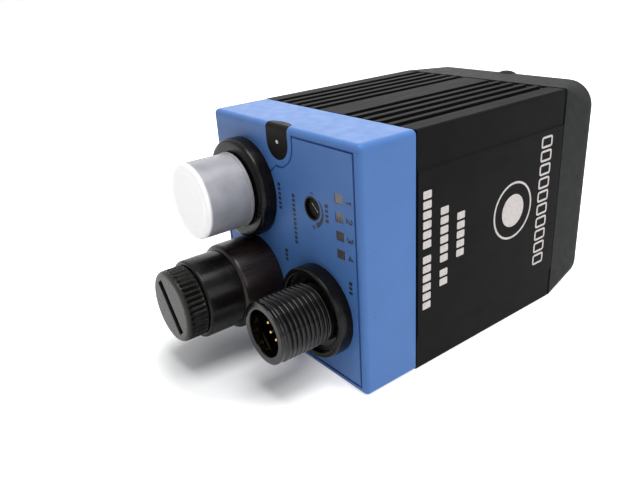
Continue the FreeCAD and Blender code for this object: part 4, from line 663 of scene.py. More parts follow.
class VISION_OT_stage(bpy.types.Operator):
    """Lays the floor, the lights and the camera"""

    bl_idname = "vision.stage"
    bl_label = "Stage"

    def execute(self, context):
        stage = context.scene.vision_stage
        scene = context.scene
        scene.view_settings.view_transform = "Standard"
        self.floor()
        self.sky(scene, stage.sky)
        for name, place, target, size, power in LAMPS:
            self.lamp(name, place, target, size, getattr(stage, power))
        self.camera(scene, stage)
        return {"FINISHED"}

    def floor(self):
        """Flat sheet 6 m across under the object. It shows the object's shadow near it and turns plain white
        further out."""
        reach = FLOOR_REACH
        corners = np.array([[-reach, -reach], [reach, -reach], [reach, reach], [-reach, reach]])
        points = np.column_stack([corners, np.full(4, LOW[2] - FLOOR_DROP)])
        mesh = bpy.data.meshes.new("floor")
        mesh.from_pydata(points, [], [(0, 1, 2, 3)])
        floor = bpy.data.objects.new("floor", mesh)
        bpy.context.scene.collection.objects.link(floor)
        finish = Finish("floor_white", 0.6)
        finish.colour(finish.ramp(finish.noise(8.0), [(0.3, (0.86, 0.86, 0.86)), (0.7, (0.88, 0.88, 0.88))]))
        finish.shader.inputs["Specular IOR Level"].default_value = 0.1
        away = finish.nodes.new("ShaderNodeVectorMath")
        away.operation = "DISTANCE"
        finish.links.new(finish.place, away.inputs[0])
        away.inputs[1].default_value = SHADOW_MIDDLE
        share = finish.span(away.outputs["Value"], 0.0, SHADOW_REACH, 0.0, 1.0)
        glow = finish.ramp(share, [(place, (level, level, level)) for place, level in FLOOR_GLOW])
        white = finish.nodes.new("ShaderNodeEmission")
        finish.links.new(finish.math("MULTIPLY", self.seen(finish), glow), white.inputs["Strength"])
        joined = finish.nodes.new("ShaderNodeAddShader")
        finish.links.new(finish.shader.outputs["BSDF"], joined.inputs[0])
        finish.links.new(white.outputs["Emission"], joined.inputs[1])
        finish.links.new(joined.outputs[0], finish.nodes["Material Output"].inputs["Surface"])
        mesh.materials.append(finish.material)
        floor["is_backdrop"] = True

    def seen(self, finish):
        """1 where the camera looks straight, by reflection or through glass."""
        path = finish.nodes.new("ShaderNodeLightPath")
        glossy = finish.math("MAXIMUM", path.outputs["Is Camera Ray"], path.outputs["Is Glossy Ray"])
        return finish.math("MAXIMUM", glossy, path.outputs["Is Transmission Ray"])

    def sky(self, scene, strength):
        """Even light all round, white where it is seen."""
        world = bpy.data.worlds.new("sky")
        world.use_nodes = True
        scene.world = world
        nodes, links = world.node_tree.nodes, world.node_tree.links
        plain = nodes["Background"]
        plain.inputs["Strength"].default_value = strength
        plain.inputs["Color"].default_value = (0.97, 0.98, 1.0, 1.0)
        white = nodes.new("ShaderNodeBackground")
        white.inputs["Color"].default_value = (1.0, 1.0, 1.0, 1.0)
        white.inputs["Strength"].default_value = 1.0
        path = nodes.new("ShaderNodeLightPath")
        shown = path.outputs["Is Camera Ray"]
        for ray in ("Is Glossy Ray", "Is Transmission Ray"):
            either = nodes.new("ShaderNodeMath")
            either.operation = "MAXIMUM"
            links.new(shown, either.inputs[0])
            links.new(path.outputs[ray], either.inputs[1])
            shown = either.outputs[0]
        joined = nodes.new("ShaderNodeMixShader")
        links.new(shown, joined.inputs["Fac"])
        links.new(plain.outputs[0], joined.inputs[1])
        links.new(white.outputs[0], joined.inputs[2])
        links.new(joined.outputs[0], nodes["World Output"].inputs["Surface"])

    def lamp(self, name, place, target, size, power):
        """Square lamp at place that faces target."""
        data = bpy.data.lights.new(name, "AREA")
        data.shape = "SQUARE"
        data.size = size
        data.energy = power
        lamp = bpy.data.objects.new(name, data)
        back = np.array(place) - np.array(target)
        back /= np.linalg.norm(back)
        right = np.cross((0.0, 1.0, 0.001), back)
        right /= np.linalg.norm(right)
        axes = np.column_stack([right, np.cross(back, right), back])
        lamp.matrix_world = Matrix.Translation(place) @ Matrix(axes.tolist()).to_4x4()
        bpy.context.scene.collection.objects.link(lamp)

    def camera(self, scene, stage):
        """Camera whose back points along azimuth and elevation, turned by its roll."""
        azimuth, elevation, roll = stage.azimuth, stage.elevation, stage.roll
        back = np.array([math.sin(azimuth) * math.cos(elevation), -math.cos(azimuth) * math.cos(elevation),
                         math.sin(elevation)])
        level = np.array([math.cos(azimuth), math.sin(azimuth), 0.0])
        upright = np.cross(back, level)
        right = math.cos(roll) * level + math.sin(roll) * upright
        axes = np.column_stack([right, np.cross(back, right), back])
        data = bpy.data.cameras.new("camera")
        data.lens = stage.lens
        data.sensor_width = 36.0
        data.clip_start = 0.005
        camera = bpy.data.objects.new("camera", data)
        camera.matrix_world = Matrix.Translation(stage.place) @ Matrix(axes.tolist()).to_4x4()
        scene.collection.objects.link(camera)
        scene.camera = camera


# ---- pieces --------------------------------------------------------------------------------------------

class VISION_OT_finishes(bpy.types.Operator):
    """Makes every finish and puts it on the CAD nodes"""

    bl_idname = "vision.finishes"
    bl_label = "Finishes"

    def execute(self, context):
        MATERIALS.update(finishes())
        for node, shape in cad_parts.items():
            dress(node, shape.material_slots[0].material.name.split(".")[0])
        return {"FINISHED"}


class VISION_OT_collars(bpy.types.Operator):
    """Turns the collars round the power and data connectors"""

    bl_idname = "vision.collars"
    bl_label = "Connector collars"

    def execute(self, context):
        sizes = context.scene.vision_sizes
        flat = 0.00005
        self.collar("power_collar", "power_collar_turned", 0.0008, flat, sizes)
        self.collar("data_collar", "data_collar_turned", 0.00045, sizes.collar_recess, sizes)
        return {"FINISHED"}

    def collar(self, node, name, outer_edge, depth, sizes):
        """Ring with a softened rim and a recess of the given depth in its front."""
        x, z, front, back = axis_of(node)
        outer = radius_of(node)
        neck = radius_of("data_shell") + NECK_PLAY
        floor = front + depth
        recess = sizes.collar_recess_radius
        corners = [(neck, back), (outer, back), (outer, front),
                   (recess, front), (recess, floor), (neck, floor)]
        profile = softened(corners, [0.0, 0.0, outer_edge, depth / 3, depth / 6, 0.0])
        piece(name, [closed_turned(x, z, profile, 128)], MATERIALS["collar_black"], "camera",
              replaces=[node])


class VISION_OT_dust_cap(bpy.types.Operator):
    """Moulds the milky cap over the power connector"""

    bl_idname = "vision.dust_cap"
    bl_label = "Dust cap"

    def execute(self, context):
        x, z, end, opening = axis_of("dust_cap")
        rim, rim_width, rim_height = radius_of("dust_cap"), 0.00015, 0.0006
        skirt = rim - rim_width
        panel, panel_edge, sunk = 0.0054, 0.0058, 0.0001
        thread_play, end_play = 0.00006, 0.0001
        bore = context.scene.vision_sizes.thread_radius + thread_play
        inner_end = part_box("power_shell")[0][1] - end_play
        corners = [
            (0.0, end + sunk), (panel, end + sunk), (panel_edge, end), (skirt, end),
            (skirt, opening - rim_height), (rim, opening - rim_height), (rim, opening), (bore, opening),
            (bore, inner_end), (0.0, inner_end),
        ]
        cuts = [0.0, 0.0002, 0.0002, 0.00055, 0.0001, 0.00015, 0.00015, 0.0002, 0.0003, 0.0]
        shape, faces = turned(x, z, softened(corners, cuts), 128)
        piece("dust_cap_moulded", [(shape, faces)], MATERIALS["cap_white"], "cap",
              replaces=["dust_cap"])
        return {"FINISHED"}


class VISION_OT_data_tube(bpy.types.Operator):
    """Cuts the thread on the data connector's tube"""

    bl_idname = "vision.data_tube"
    bl_label = "Data tube"

    def execute(self, context):
        sizes = context.scene.vision_sizes
        x, z, end, neck_end = axis_of("data_shell")
        neck = radius_of("data_shell")
        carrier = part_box("data_insert")[0][1]
        carrier_bore = radius_of("data_insert") + CARRIER_PLAY
        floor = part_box("data_collar")[0][1] + sizes.collar_recess
        lead_in, run_out = 0.0009, 0.0004
        start, stop = end + lead_in, floor - run_out
        crest = sizes.thread_radius
        root = crest - sizes.thread_depth * THREAD_SHARE
        thread = self.thread(x, z, start, stop, root, sizes)
        front = softened(
            [(root, start), (root, start - 0.00015), (crest - 0.00015, start - 0.0003),
             (crest - 0.0001, end), (sizes.tube_bore, end), (sizes.tube_bore, carrier),
             (carrier_bore, carrier), (carrier_bore, neck_end), (neck, neck_end), (neck, floor),
             (root, floor), (root, stop)],
            [0.0, 0.0001, 0.0001, 0.00022, 0.00022, 0.0, 0.0, 0.0, 0.0, 0.0, 0.0, 0.0])
        piece("data_tube_threaded", [thread, turned(x, z, front, 96)], MATERIALS["thread_black"], "camera",
              sharp=50.0, replaces=["data_shell"])
        return {"FINISHED"}

    def thread(self, x, z, start, stop, root, sizes):
        """Thread along Y: at the turn count t = u + a / 2 pi the point lies at y = start + pitch (t - 1),
        held between start and stop, and at root + depth * crest(u), where crest is a flat-topped wave of
        the fraction of u, fading out at both ends."""
        steps, columns = 10, 96
        turns = int(math.ceil((stop - start) / sizes.thread_pitch)) + 1
        u = (np.arange(steps * turns + 1) / steps)[:, None]
        angle = np.linspace(0.0, 2 * math.pi, columns + 1)[None, :]
        y = np.clip(start + sizes.thread_pitch * (u + angle / (2 * math.pi) - 1), start, stop)
        wave = 0.5 - 0.5 * np.cos(2 * math.pi * u)
        crest = np.clip(wave * THREAD_CREST, 0.0, 1.0)
        fade_length = 0.0004
        fade = np.clip((y - start) / fade_length, 0.0, 1.0) * np.clip((stop - y) / fade_length, 0.0, 1.0)
        radius = root + sizes.thread_depth * THREAD_SHARE * crest * fade
        points = np.stack([x + radius * np.sin(angle), y, z + radius * np.cos(angle)], axis=-1)
        return points, grid_faces(steps * turns + 1, columns + 1)


class VISION_OT_pins(bpy.types.Operator):
    """Turns the gold pins of the data connector"""

    bl_idname = "vision.pins"
    bl_label = "Data pins"

    def execute(self, context):
        radius = context.scene.vision_sizes.pin_radius
        low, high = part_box("data_pins")
        x, z, _, _ = axis_of("data_insert")
        middles = []
        for circle, count, first in PIN_CIRCLES:
            angle = np.radians(first + 360.0 / count * np.arange(count))
            middles.append(np.column_stack([circle * np.cos(angle), circle * np.sin(angle)]))
        profile = softened([(0.0, low[1]), (radius, low[1]), (radius, high[1]), (0.0, high[1])],
                           [0.0, radius * 0.9, 0.0, 0.0], 7)
        pin, faces = turned(0.0, 0.0, profile, 20)
        shapes = [(pin + np.array([x + dx, 0.0, z + dz]), faces) for dx, dz in np.concatenate(middles)]
        piece("data_pins_turned", shapes, MATERIALS["gold"], "camera", replaces=["data_pins"])
        return {"FINISHED"}


class VISION_OT_network_socket(bpy.types.Operator):
    """Turns the barrel and the threaded socket of the network connector"""

    bl_idname = "vision.network_socket"
    bl_label = "Network socket"

    def execute(self, context):
        sizes = context.scene.vision_sizes
        neck = radius_of("data_shell")
        x, z, front, back = axis_of("lan_barrel")
        outer, bore = radius_of("lan_barrel"), neck + NECK_PLAY
        barrel = softened([(bore, back), (outer, back), (outer, front), (bore, front)],
                          [0.0, 0.0, 0.0011, 0.0], 8)
        piece("network_barrel", [closed_turned(x, z, barrel, 128)], MATERIALS["barrel_plastic"], "camera",
              replaces=["lan_barrel"])
        low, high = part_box("lan_shell")
        socket = radius_of("lan_shell")
        rim, neck_end = low[1], high[1]
        carrier_bore = radius_of("lan_insert") + CARRIER_PLAY
        thread, seat, seat_depth, floor_height = sizes.thread_radius, 0.00695, 0.0009, 0.008
        floor = back - floor_height
        profile = softened(
            [(seat, rim), (socket, rim), (socket, front), (neck, front), (neck, neck_end),
             (carrier_bore, neck_end), (carrier_bore, floor), (thread, floor), (thread, rim + seat_depth),
             (seat, rim + seat_depth)],
            [0.00015, 0.0006, 0.0, 0.0, 0.0, 0.0, 0.0, 0.0, 0.0, 0.0], 6)
        piece("network_socket", [closed_turned(x, z, profile, 128)], MATERIALS["collar_black"], "camera",
              replaces=["lan_shell"])
        return {"FINISHED"}


def slotted_disc(x, z, end, rim, columns, width, reach, depth, turn):
    """Disc with a slot: rows at p = rim sin a and columns at q = v sqrt(rim^2 - p^2), pushed in by the
    slot's depth where |p| is under half its width and |v| under reach / rim, then turned to the slot's
    direction. The rows and columns at the slot's edges are doubled, so its walls are upright."""
    step = 2 * math.pi / columns
    edge = round(math.asin(width / 2 / rim) / step)
    index = np.arange(-columns // 4, columns // 4 + 1)
    rows = np.sort(np.concatenate([index, [-edge, edge]]))
    p = rim * np.sin(rows * step)
    deep_row = np.abs(rows) < edge
    deep_row[[np.flatnonzero(rows == -edge)[1], np.flatnonzero(rows == edge)[0]]] = True
    half = np.sqrt(np.maximum(rim ** 2 - p ** 2, 0.0))
    share = reach / rim
    v = np.sort(np.concatenate([np.linspace(-1, 1, 21), [-share, -share, share, share]]))
    deep_column = np.abs(v) < share
    deep_column[[np.flatnonzero(v == -share)[1], np.flatnonzero(v == share)[0]]] = True
    q = v[None, :] * half[:, None]
    y = end + depth * (deep_row[:, None] & deep_column[None, :])
    across = p[:, None] * math.cos(turn) - q * math.sin(turn)
    upwards = p[:, None] * math.sin(turn) + q * math.cos(turn)
    points = np.stack([x + across, y, z + upwards], axis=-1)
    return points, grid_faces(len(rows), len(v))


class VISION_OT_focus_screw(bpy.types.Operator):
    """Turns the blackened focus screw and the bare metal of its slot, pale enough to paint the slot's glint
    as well, and lines its hole in black as painted shade
    """

    bl_idname = "vision.focus_screw"
    bl_label = "Focus screw"

    def execute(self, context):
        sizes = context.scene.vision_sizes
        x, z, end, back = axis_of("focus_screw")
        head, bevel, reach_share = radius_of("focus_screw"), 0.00012, 0.62
        rim, columns, turn = head - bevel, 120, math.radians(FOCUS_SLOT_TURN)
        corners = [(rim, end), (head, end + bevel), (head, back), (0.0, back)]
        reach = reach_share * rim
        face = slotted_disc(x, z, end, rim, columns, sizes.focus_slot_width, reach,
                            sizes.focus_slot_depth, turn)
        piece("focus_screw_head", [turned(x, z, np.array(corners), columns), face], MATERIALS["screw_black"],
              "focus_drive", sharp=30.0, replaces=["focus_screw"])
        # Black lining of the hole, with a flange on the face: painted shade where the hole's edge lies in
        # shadow.
        inside, wall, flange, lift, foot = head + 0.00002, head + 0.00006, head + 0.0003, 0.00001, 0.0002
        sleeve = np.array([(inside, FACE_Y - lift), (flange, FACE_Y - lift), (flange, FACE_Y),
                           (wall, FACE_Y), (wall, end + foot), (inside, end + foot)])
        piece("focus_hole_sleeve", [closed_turned(x, z, sleeve, 96)], MATERIALS["screw_black"], "camera")
        # Pale bare-metal floor in the slot: the screw's metal, and a painted glint along the slot.
        half_share, length_share, sunk_share, strip_corner, strip_height = 0.46, 0.97, 0.35, 0.00005, 0.00004
        strip = bar(0.0, 0.0, sizes.focus_slot_width * half_share, reach * length_share, strip_corner)
        level = end + sizes.focus_slot_depth * sunk_share

        def in_slot(u, v, lift):
            """Point in the slot: u across it, v along it, lift towards the rear."""
            across = u * math.cos(turn) - v * math.sin(turn)
            upwards = u * math.sin(turn) + v * math.cos(turn)
            return np.stack([x + across, np.full(np.shape(u), level - lift), z + upwards], axis=-1)

        piece("focus_slot_floor", [plate(in_slot, strip, strip_height)], MATERIALS["slot_bright"],
              "focus_drive")
        return {"FINISHED"}


class VISION_OT_front_cover(bpy.types.Operator):
    """Casts the front cover, its screw wells and the nub on its top"""

    bl_idname = "vision.front_cover"
    bl_label = "Front cover"

    def execute(self, context):
        sizes = context.scene.vision_sizes
        low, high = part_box("front_cover")
        pane_low, pane_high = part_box("front_window")
        cover = piece("front_cover_cast", [self.shell(low, high, pane_low, pane_high, sizes)],
                      MATERIALS["cover_black"], "camera", sharp=32.0, replaces=["front_cover"])
        screw_low, screw_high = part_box("tie_screws")
        head, well, past = 0.00265, 0.00275, 0.001
        across = screw_high[0] - head
        places = [(side * across, z) for side in (-1, 1) for z in (screw_low[2] + head, screw_high[2] - head)]
        back, front = pane_low[1] - past, high[1] + past
        bore = np.array([(0.0, back), (well, back), (well, front), (0.0, front)])
        self.cut(cover, [closed_turned(x, z, bore, 48) for x, z in places])
        head_height, floor_thickness, shank, outer = 0.003, 0.0012, 0.0016, 0.0036
        seat, mouth = screw_high[1] - head_height, pane_low[1] + past
        under = seat - floor_thickness
        sleeve = np.array([(well, mouth), (well, seat), (shank, seat), (shank, under), (outer, under),
                           (outer, mouth)])
        piece("cover_screw_wells", [closed_turned(x, z, sleeve, 48) for x, z in places],
              MATERIALS["cover_black"], "camera")
        under_box = 0.0002
        self.nub(HIGH[2] - under_box)
        return {"FINISHED"}

    def outline(self, half_x, half_z, corner, middle, steps=16):
        """Rounded rectangle: each corner's arc is (half - r) + r (cos a, sin a), and the straight sides
        join them."""
        rise = np.linspace(0.0, math.pi / 2, steps)
        angle = (rise[None, :] + np.arange(4)[:, None] * math.pi / 2).ravel()
        side_x = np.repeat([1, -1, -1, 1], steps) * (half_x - corner)
        side_z = np.repeat([1, 1, -1, -1], steps) * (half_z - corner)
        return np.column_stack([side_x + corner * np.cos(angle), middle + side_z + corner * np.sin(angle)])

    def ring(self, radius, middle, steps=16):
        """Circle with as many points as the outline, at even angles."""
        count = 4 * steps
        angle = (np.arange(count) + 0.5) * 2 * math.pi / count - math.pi / count + math.pi / 4 / steps
        return np.column_stack([radius * np.cos(angle), middle + radius * np.sin(angle)])

    def shell(self, low, high, pane_low, pane_high, sizes):
        """Closed surface of rows: the section's corner radius grows in proportion to y from the seam to
        the front edge, which turns through a quarter circle into the front; then come the opening, the
        pane's seat and the hollow behind it, back to the seam."""
        half_x, top = high[0], SIDE_HIGH[2]
        half_z = middle = top / 2
        seam, front, edge = low[1], high[1], sizes.cover_edge
        turn_y = front - edge
        gap = sizes.cover_gap
        lip = self.outline(half_x - gap, half_z - gap, sizes.cover_seam_corner, middle)
        rows = [(lip, seam), (lip, seam + gap)]
        seam = seam + gap
        for share in np.linspace(0.0, 1.0, 6):
            corner = sizes.cover_seam_corner + (sizes.cover_front_corner - sizes.cover_seam_corner) * share
            rows.append((self.outline(half_x, half_z, corner, middle), seam + (turn_y - seam) * share))
        for angle in np.linspace(0.0, math.pi / 2, 10)[1:]:
            inset = edge * (1 - math.cos(angle))
            shape = self.outline(half_x - inset, half_z - inset, sizes.cover_front_corner - inset, middle)
            rows.append((shape, turn_y + edge * math.sin(angle)))
        opening, pane, bevel, wall = sizes.cover_opening, pane_high[0] + 0.0001, 0.0006, 0.0025
        for radius, y in ((opening + bevel, front), (opening, front - bevel), (opening, pane_high[1]),
                          (pane, pane_high[1]), (pane, pane_low[1])):
            rows.append((self.ring(radius, middle), y))
        hollow = self.outline(half_x - wall, half_z - wall, 0.0004, middle)
        rows += [(hollow, pane_low[1]), (hollow, low[1])]
        points = section_rows(rows)
        return points, grid_faces(len(rows), points.shape[1], close_rows=True, close_columns=True)

    def cut(self, cover, shapes):
        """Cuts the screw wells out of the cover's mesh."""
        tool = piece("well_cutter", shapes, MATERIALS["cover_black"], "camera")
        difference = cover.modifiers.new("wells", "BOOLEAN")
        difference.operation = "DIFFERENCE"
        difference.object = tool
        difference.solver = "EXACT"
        cut = bpy.data.meshes.new_from_object(cover.evaluated_get(bpy.context.evaluated_depsgraph_get()))
        cover.modifiers.remove(difference)
        cover.data = cut
        bpy.data.objects.remove(tool)

    def nub(self, crown):
        """Low dome over the front edge: (a cos u cos v, b cos u sin v, c sin u)."""
        u = np.linspace(-math.pi / 2, math.pi / 2, 25)[:, None]
        v = np.linspace(0.0, 2 * math.pi, 48, endpoint=False)[None, :]
        a, b, c = 0.0025, 0.0017, 0.0011
        middle_x, middle_y = 0.0008, 0.0310
        points = np.stack([middle_x + a * np.cos(u) * np.cos(v), middle_y + b * np.cos(u) * np.sin(v),
                           crown - c + c * np.sin(u) + 0 * v], axis=-1)
        faces = grid_faces(len(u), v.size, close_columns=True)
        piece("cover_nub", [(points, faces)], MATERIALS["cover_black"], "camera")


class VISION_OT_notch(bpy.types.Operator):
    """Closes the cap's top behind the notch insert and sets the insert's pin, a white dome that paints the
    glint on the insert
    """

    bl_idname = "vision.notch"
    bl_label = "Notch"

    def execute(self, context):
        low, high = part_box("notch_plug")
        columns = 41
        u = np.linspace(-1.0, 1.0, columns)
        x, back = high[0] * u, np.full(columns, high[1])
        lip = low[1] + 0.0010 + 0.0012 * np.sqrt(1 - u ** 2)
        under, over = high[2] - 0.0002, high[2] + 0.00001
        rows = [(lip, under), (lip, over), (back, over), (back, under)]
        points = np.stack([np.column_stack([x, y, np.full(columns, z)]) for y, z in rows])
        piece("cap_web", [(points, grid_faces(4, columns, close_rows=True)), self.end_wall(points[:, 0]),
                          self.end_wall(points[:, -1])], MATERIALS["cap_blue"], "camera")
        # White dome of the insert's pin: a painted glint.
        radius, z = 0.0004, high[2] - 0.0032
        rise = np.linspace(0.0, math.pi / 2, 6)
        dome = np.column_stack([radius * np.cos(rise), low[1] + 0.0001 - 0.0002 * np.sin(rise)])
        profile = np.concatenate([[(0.0, low[1] + 0.0008), (radius, low[1] + 0.0008)], dome])
        piece("insert_pin", [turned(0.0, z, profile, 32)], MATERIALS["light_case"], "camera")
        return {"FINISHED"}

    def end_wall(self, corners):
        """The four corners at one end, joined to a face."""
        return corners, np.array([[0, 1, 2, 3]])


class VISION_OT_blanking_plug(bpy.types.Operator):
    """Shapes the ribbed and slotted plug in the network socket"""

    bl_idname = "vision.blanking_plug"
    bl_label = "Blanking plug"

    def execute(self, context):
        sizes = context.scene.vision_sizes
        x, z, end, shank_end = axis_of("blanking_plug")
        outer = radius_of("blanking_plug")
        head_play, thread_play, rounding, steps = 0.0001, 0.00007, 0.0009, 8
        head_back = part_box("lan_shell")[0][1] - head_play
        shank = sizes.thread_radius - thread_play
        columns = 8 * sizes.rib_count
        rim = outer - 0.0011
        profile = softened(
            [(rim, end), (outer, end), (outer, head_back), (shank, head_back), (shank, shank_end),
             (0.0, shank_end)],
            [0.0, rounding, 0.00025, 0.0, 0.0, 0.0], steps)
        stretch = np.linspace(end + rounding, head_back - 0.0002, 14)
        side = np.column_stack([np.full(len(stretch), outer), stretch])
        profile = np.concatenate([profile[:2 * steps], side, profile[2 * steps:]])

        def ribs(radius, y, angle):
            """Rounded ribs: radius less depth * hollow(a), faded in over half a millimetre."""
            front = np.clip((y - end - 0.0008) / 0.0005, 0.0, 1.0)
            inside = front * np.clip((head_back - 0.0001 - y) / 0.0002, 0.0, 1.0)
            on_side = radius > outer - 0.0003
            hollow = (0.5 + 0.5 * np.cos(sizes.rib_count * angle)) ** 1.6
            return radius - sizes.rib_depth * inside * on_side * hollow

        face = slotted_disc(x, z, end, rim, columns, sizes.slot_width, sizes.slot_reach, sizes.slot_depth,
                            math.radians(PLUG_SLOT_TURN))
        shapes = [turned(x, z, profile, columns, ribs), face]
        piece("blanking_plug_ribbed", shapes, MATERIALS["plug_black"], "plug", sharp=40.0,
              replaces=["blanking_plug"])
        return {"FINISHED"}


class VISION_OT_lights(bpy.types.Operator):
    """Shapes the ring of lights behind the window"""

    bl_idname = "vision.lights"
    bl_label = "Lights"

    def execute(self, context):
        low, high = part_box("leds")
        middle_z = (low[2] + high[2]) / 2
        count, first, radius = 8, 22.5, 0.0115
        angle = np.radians(first + 360.0 / count * np.arange(count))
        places = np.column_stack([radius * np.cos(angle), np.zeros(count), middle_z + radius * np.sin(angle)])
        half, dome_radius, dome_height = 0.0013, 0.00105, 0.0005
        seat, shoulder = low[1], high[1] - dome_height
        square = bar(0.0, 0.0, half, half, 0.0002)
        rim = bar(0.0, 0.0, half - 0.0001, half - 0.0001, 0.0002)
        rows = [(square * 0.0, seat), (square, seat), (square, shoulder - 0.0001), (rim, shoulder),
                (rim * 0.0, shoulder)]
        case = section_rows(rows)
        case_faces = grid_faces(len(rows), len(square), close_columns=True)
        rise = np.linspace(0.0, math.pi / 2, 8)
        dome_profile = np.column_stack([dome_radius * np.cos(rise), shoulder + dome_height * np.sin(rise)])
        dome, dome_faces = turned(0.0, 0.0, np.concatenate([[(0.0, shoulder)], dome_profile]), 28)
        piece("light_cases", [(case + place, case_faces) for place in places], MATERIALS["light_case"],
              "camera", replaces=["leds"])
        piece("light_domes", [(dome + place, dome_faces) for place in places], MATERIALS["led_yellow"],
              "camera")
        return {"FINISHED"}


def on_face(u, v, lift):
    """Point on the rear cap's face: u is x, v is z, lift is towards the rear."""
    return np.stack([u, np.full(np.shape(u), FACE_Y - lift), v], axis=-1)


def on_side(u, v, lift):
    """Point on the raised flat of the housing's right side: u is y, v is z, lift is outwards."""
    return np.stack([np.full(np.shape(u), SIDE_HIGH[0] + lift), u, v], axis=-1)


# Strokes of the numbers, in shares of their height: across, upwards.
STROKES = {
    1: [[(0.15, 0.75), (0.45, 1.0), (0.45, 0.0)]],
    2: [[(0.05, 0.75), (0.15, 0.93), (0.35, 1.0), (0.55, 0.9), (0.6, 0.7), (0.45, 0.45), (0.05, 0.0),
         (0.65, 0.0)]],
    3: [[(0.05, 0.85), (0.2, 0.98), (0.4, 1.0), (0.57, 0.88), (0.57, 0.68), (0.42, 0.55), (0.25, 0.53)],
        [(0.25, 0.53), (0.47, 0.5), (0.63, 0.36), (0.6, 0.14), (0.42, 0.0), (0.2, 0.0), (0.03, 0.14)]],
    4: [[(0.5, 0.0), (0.5, 1.0), (0.03, 0.3), (0.68, 0.3)]],
}


class VISION_OT_face_marks(bpy.types.Operator):
    """Prints the marks on the rear cap: dial wedge, plus and minus, numbers beside the windows, and a dark
    ring round the focus screw, which is painted shade at its hole's edge
    """

    bl_idname = "vision.face_marks"
    bl_label = "Marks on the rear cap"

    def execute(self, context):
        height = context.scene.vision_sizes.print_height
        x, z, _, _ = axis_of("focus_screw")
        # Dark ring round the focus screw: painted shade at the edge of its hole.
        ring_radius, shade_ring_half = 0.00218, 0.00012
        ring = arc(x, z, ring_radius, 0.0, 357.0, 120)
        shapes = [self.wedge(height), band(on_face, ring, shade_ring_half, height, closed=True)]
        shapes += self.signs(height)
        shapes += self.numbers(height)
        for x, top, count in FACE_LABELS:
            for row in range(count):
                half = 0.00034 if row % 3 else 0.00042
                outline = bar(x, top - FACE_BLOCK_PITCH * row, 0.00042, half * 0.8, 0.00012)
                shapes.append(plate(on_face, outline, height))
        piece("face_marks", shapes, MATERIALS["face_print"], "camera")
        return {"FINISHED"}

    def wedge(self, height):
        """Wedge round the focus screw: a band whose radius and width grow along its arc."""
        x, z, _, _ = axis_of("focus_screw")
        share = np.linspace(0.0, 1.0, 40)
        angle = np.radians(46.0 - 116.0 * share)
        radius = 0.00278 + 0.00034 * share
        path = np.column_stack([x + radius * np.cos(angle), z + radius * np.sin(angle)])
        return band(on_face, path, 0.00006 + 0.00040 * share, height)

    def signs(self, height):
        """Minus at the wedge's thin end, plus at its thick end."""
        x, z, _, _ = axis_of("focus_screw")
        thin, long, corner = 0.00009, 0.00045, 0.00003
        plus_x, plus_z = x + 0.0002, z - 0.00345
        outlines = [bar(x + 0.0001, z + 0.0029, long, thin, corner), bar(plus_x, plus_z, long, thin, corner),
                    bar(plus_x, plus_z, thin, long, corner)]
        lifts = [1.0, 1.0, 1.2]
        return [plate(on_face, outline, height * lift) for outline, lift in zip(outlines, lifts)]

    def numbers(self, height):
        """Numbers 1 to 4 beside the status windows, read downwards."""
        shapes = []
        for number, z in zip(STROKES, NUMBER_PLACES):
            for stroke in STROKES[number]:
                stroke = np.array(stroke) * NUMBER_SIZE
                path = np.column_stack([NUMBER_X + stroke[:, 1], z - stroke[:, 0]])
                shapes.append(band(on_face, path, 0.00016, height))
        return shapes


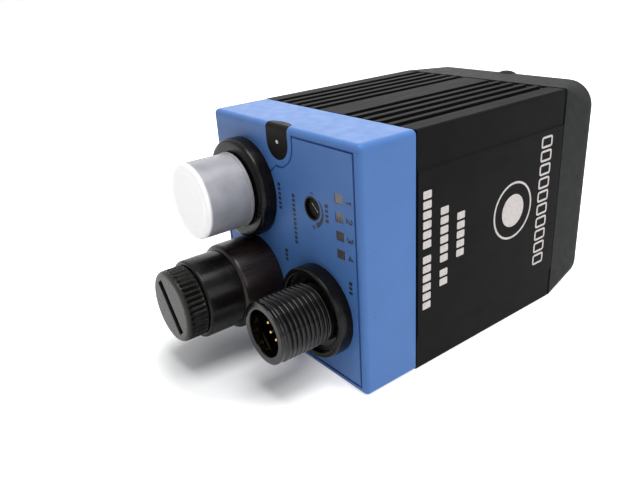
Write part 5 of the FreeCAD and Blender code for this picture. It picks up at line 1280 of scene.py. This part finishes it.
class VISION_OT_side_marks(bpy.types.Operator):
    """Prints the fields and the lens sign on the housing's right side"""

    bl_idname = "vision.side_marks"
    bl_label = "Marks on the side"

    def execute(self, context):
        height = context.scene.vision_sizes.print_height
        shapes = []
        line_half, ring_radius, disc_radius = 0.00022, 0.0058, 0.0034
        for y, z, groups in SIDE_LINES:
            for count in groups:
                for _ in range(count):
                    shapes.append(plate(on_side, bar(y, z + 0.00078, 0.00105, 0.00072, 0.00025), height))
                    z += SIDE_BLOCK_PITCH
                z += SIDE_GROUP_GAP
        frames, y, foot, pitch = SIDE_FRAMES
        for row in range(frames):
            path = bar(y, foot + pitch * row, 0.0016, 0.00098, 0.0004)
            shapes.append(band(on_side, path, line_half, height, closed=True))
        ring = arc(*SIDE_SIGN, ring_radius, 0.0, 357.0, 120)
        shapes.append(band(on_side, ring, line_half, height, closed=True))
        shapes.append(plate(on_side, arc(*SIDE_SIGN, disc_radius, 0.0, 357.0, 90), height))
        piece("side_marks", shapes, MATERIALS["side_print"], "camera")
        return {"FINISHED"}


CLASSES = [
    VisionSizes, VisionColours, VisionStage,
    VISION_OT_stage, VISION_OT_finishes, VISION_OT_collars, VISION_OT_dust_cap, VISION_OT_data_tube,
    VISION_OT_pins, VISION_OT_network_socket, VISION_OT_blanking_plug, VISION_OT_focus_screw,
    VISION_OT_front_cover, VISION_OT_notch, VISION_OT_lights, VISION_OT_face_marks, VISION_OT_side_marks,
]


ORDER = ("stage", "finishes", "collars", "dust_cap", "data_tube", "pins", "network_socket", "blanking_plug",
         "focus_screw", "front_cover", "notch", "lights", "face_marks", "side_marks")


class VISION_PT_panel(bpy.types.Panel):
    """Lists the steps that dress the camera"""

    bl_idname = "VISION_PT_panel"
    bl_label = "Vision Camera"
    bl_space_type = "VIEW_3D"
    bl_region_type = "UI"
    bl_category = "Vision Camera"

    def draw(self, context):
        scene = context.scene
        for settings in (scene.vision_sizes, scene.vision_colours, scene.vision_stage):
            column = self.layout.column()
            for name in settings.__annotations__:
                column.prop(settings, name)
        for name in ORDER:
            self.layout.operator("vision." + name)


def register():
    for kind in CLASSES + [VISION_PT_panel]:
        bpy.utils.register_class(kind)
    bpy.types.Scene.vision_sizes = bpy.props.PointerProperty(type=VisionSizes)
    bpy.types.Scene.vision_colours = bpy.props.PointerProperty(type=VisionColours)
    bpy.types.Scene.vision_stage = bpy.props.PointerProperty(type=VisionStage)


def unregister():
    del bpy.types.Scene.vision_stage
    del bpy.types.Scene.vision_colours
    del bpy.types.Scene.vision_sizes
    for kind in reversed(CLASSES + [VISION_PT_panel]):
        bpy.utils.unregister_class(kind)


def main():
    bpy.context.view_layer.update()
    register()
    for name in ORDER:
        getattr(bpy.ops.vision, name)()


if __name__ == "__main__":
    main()
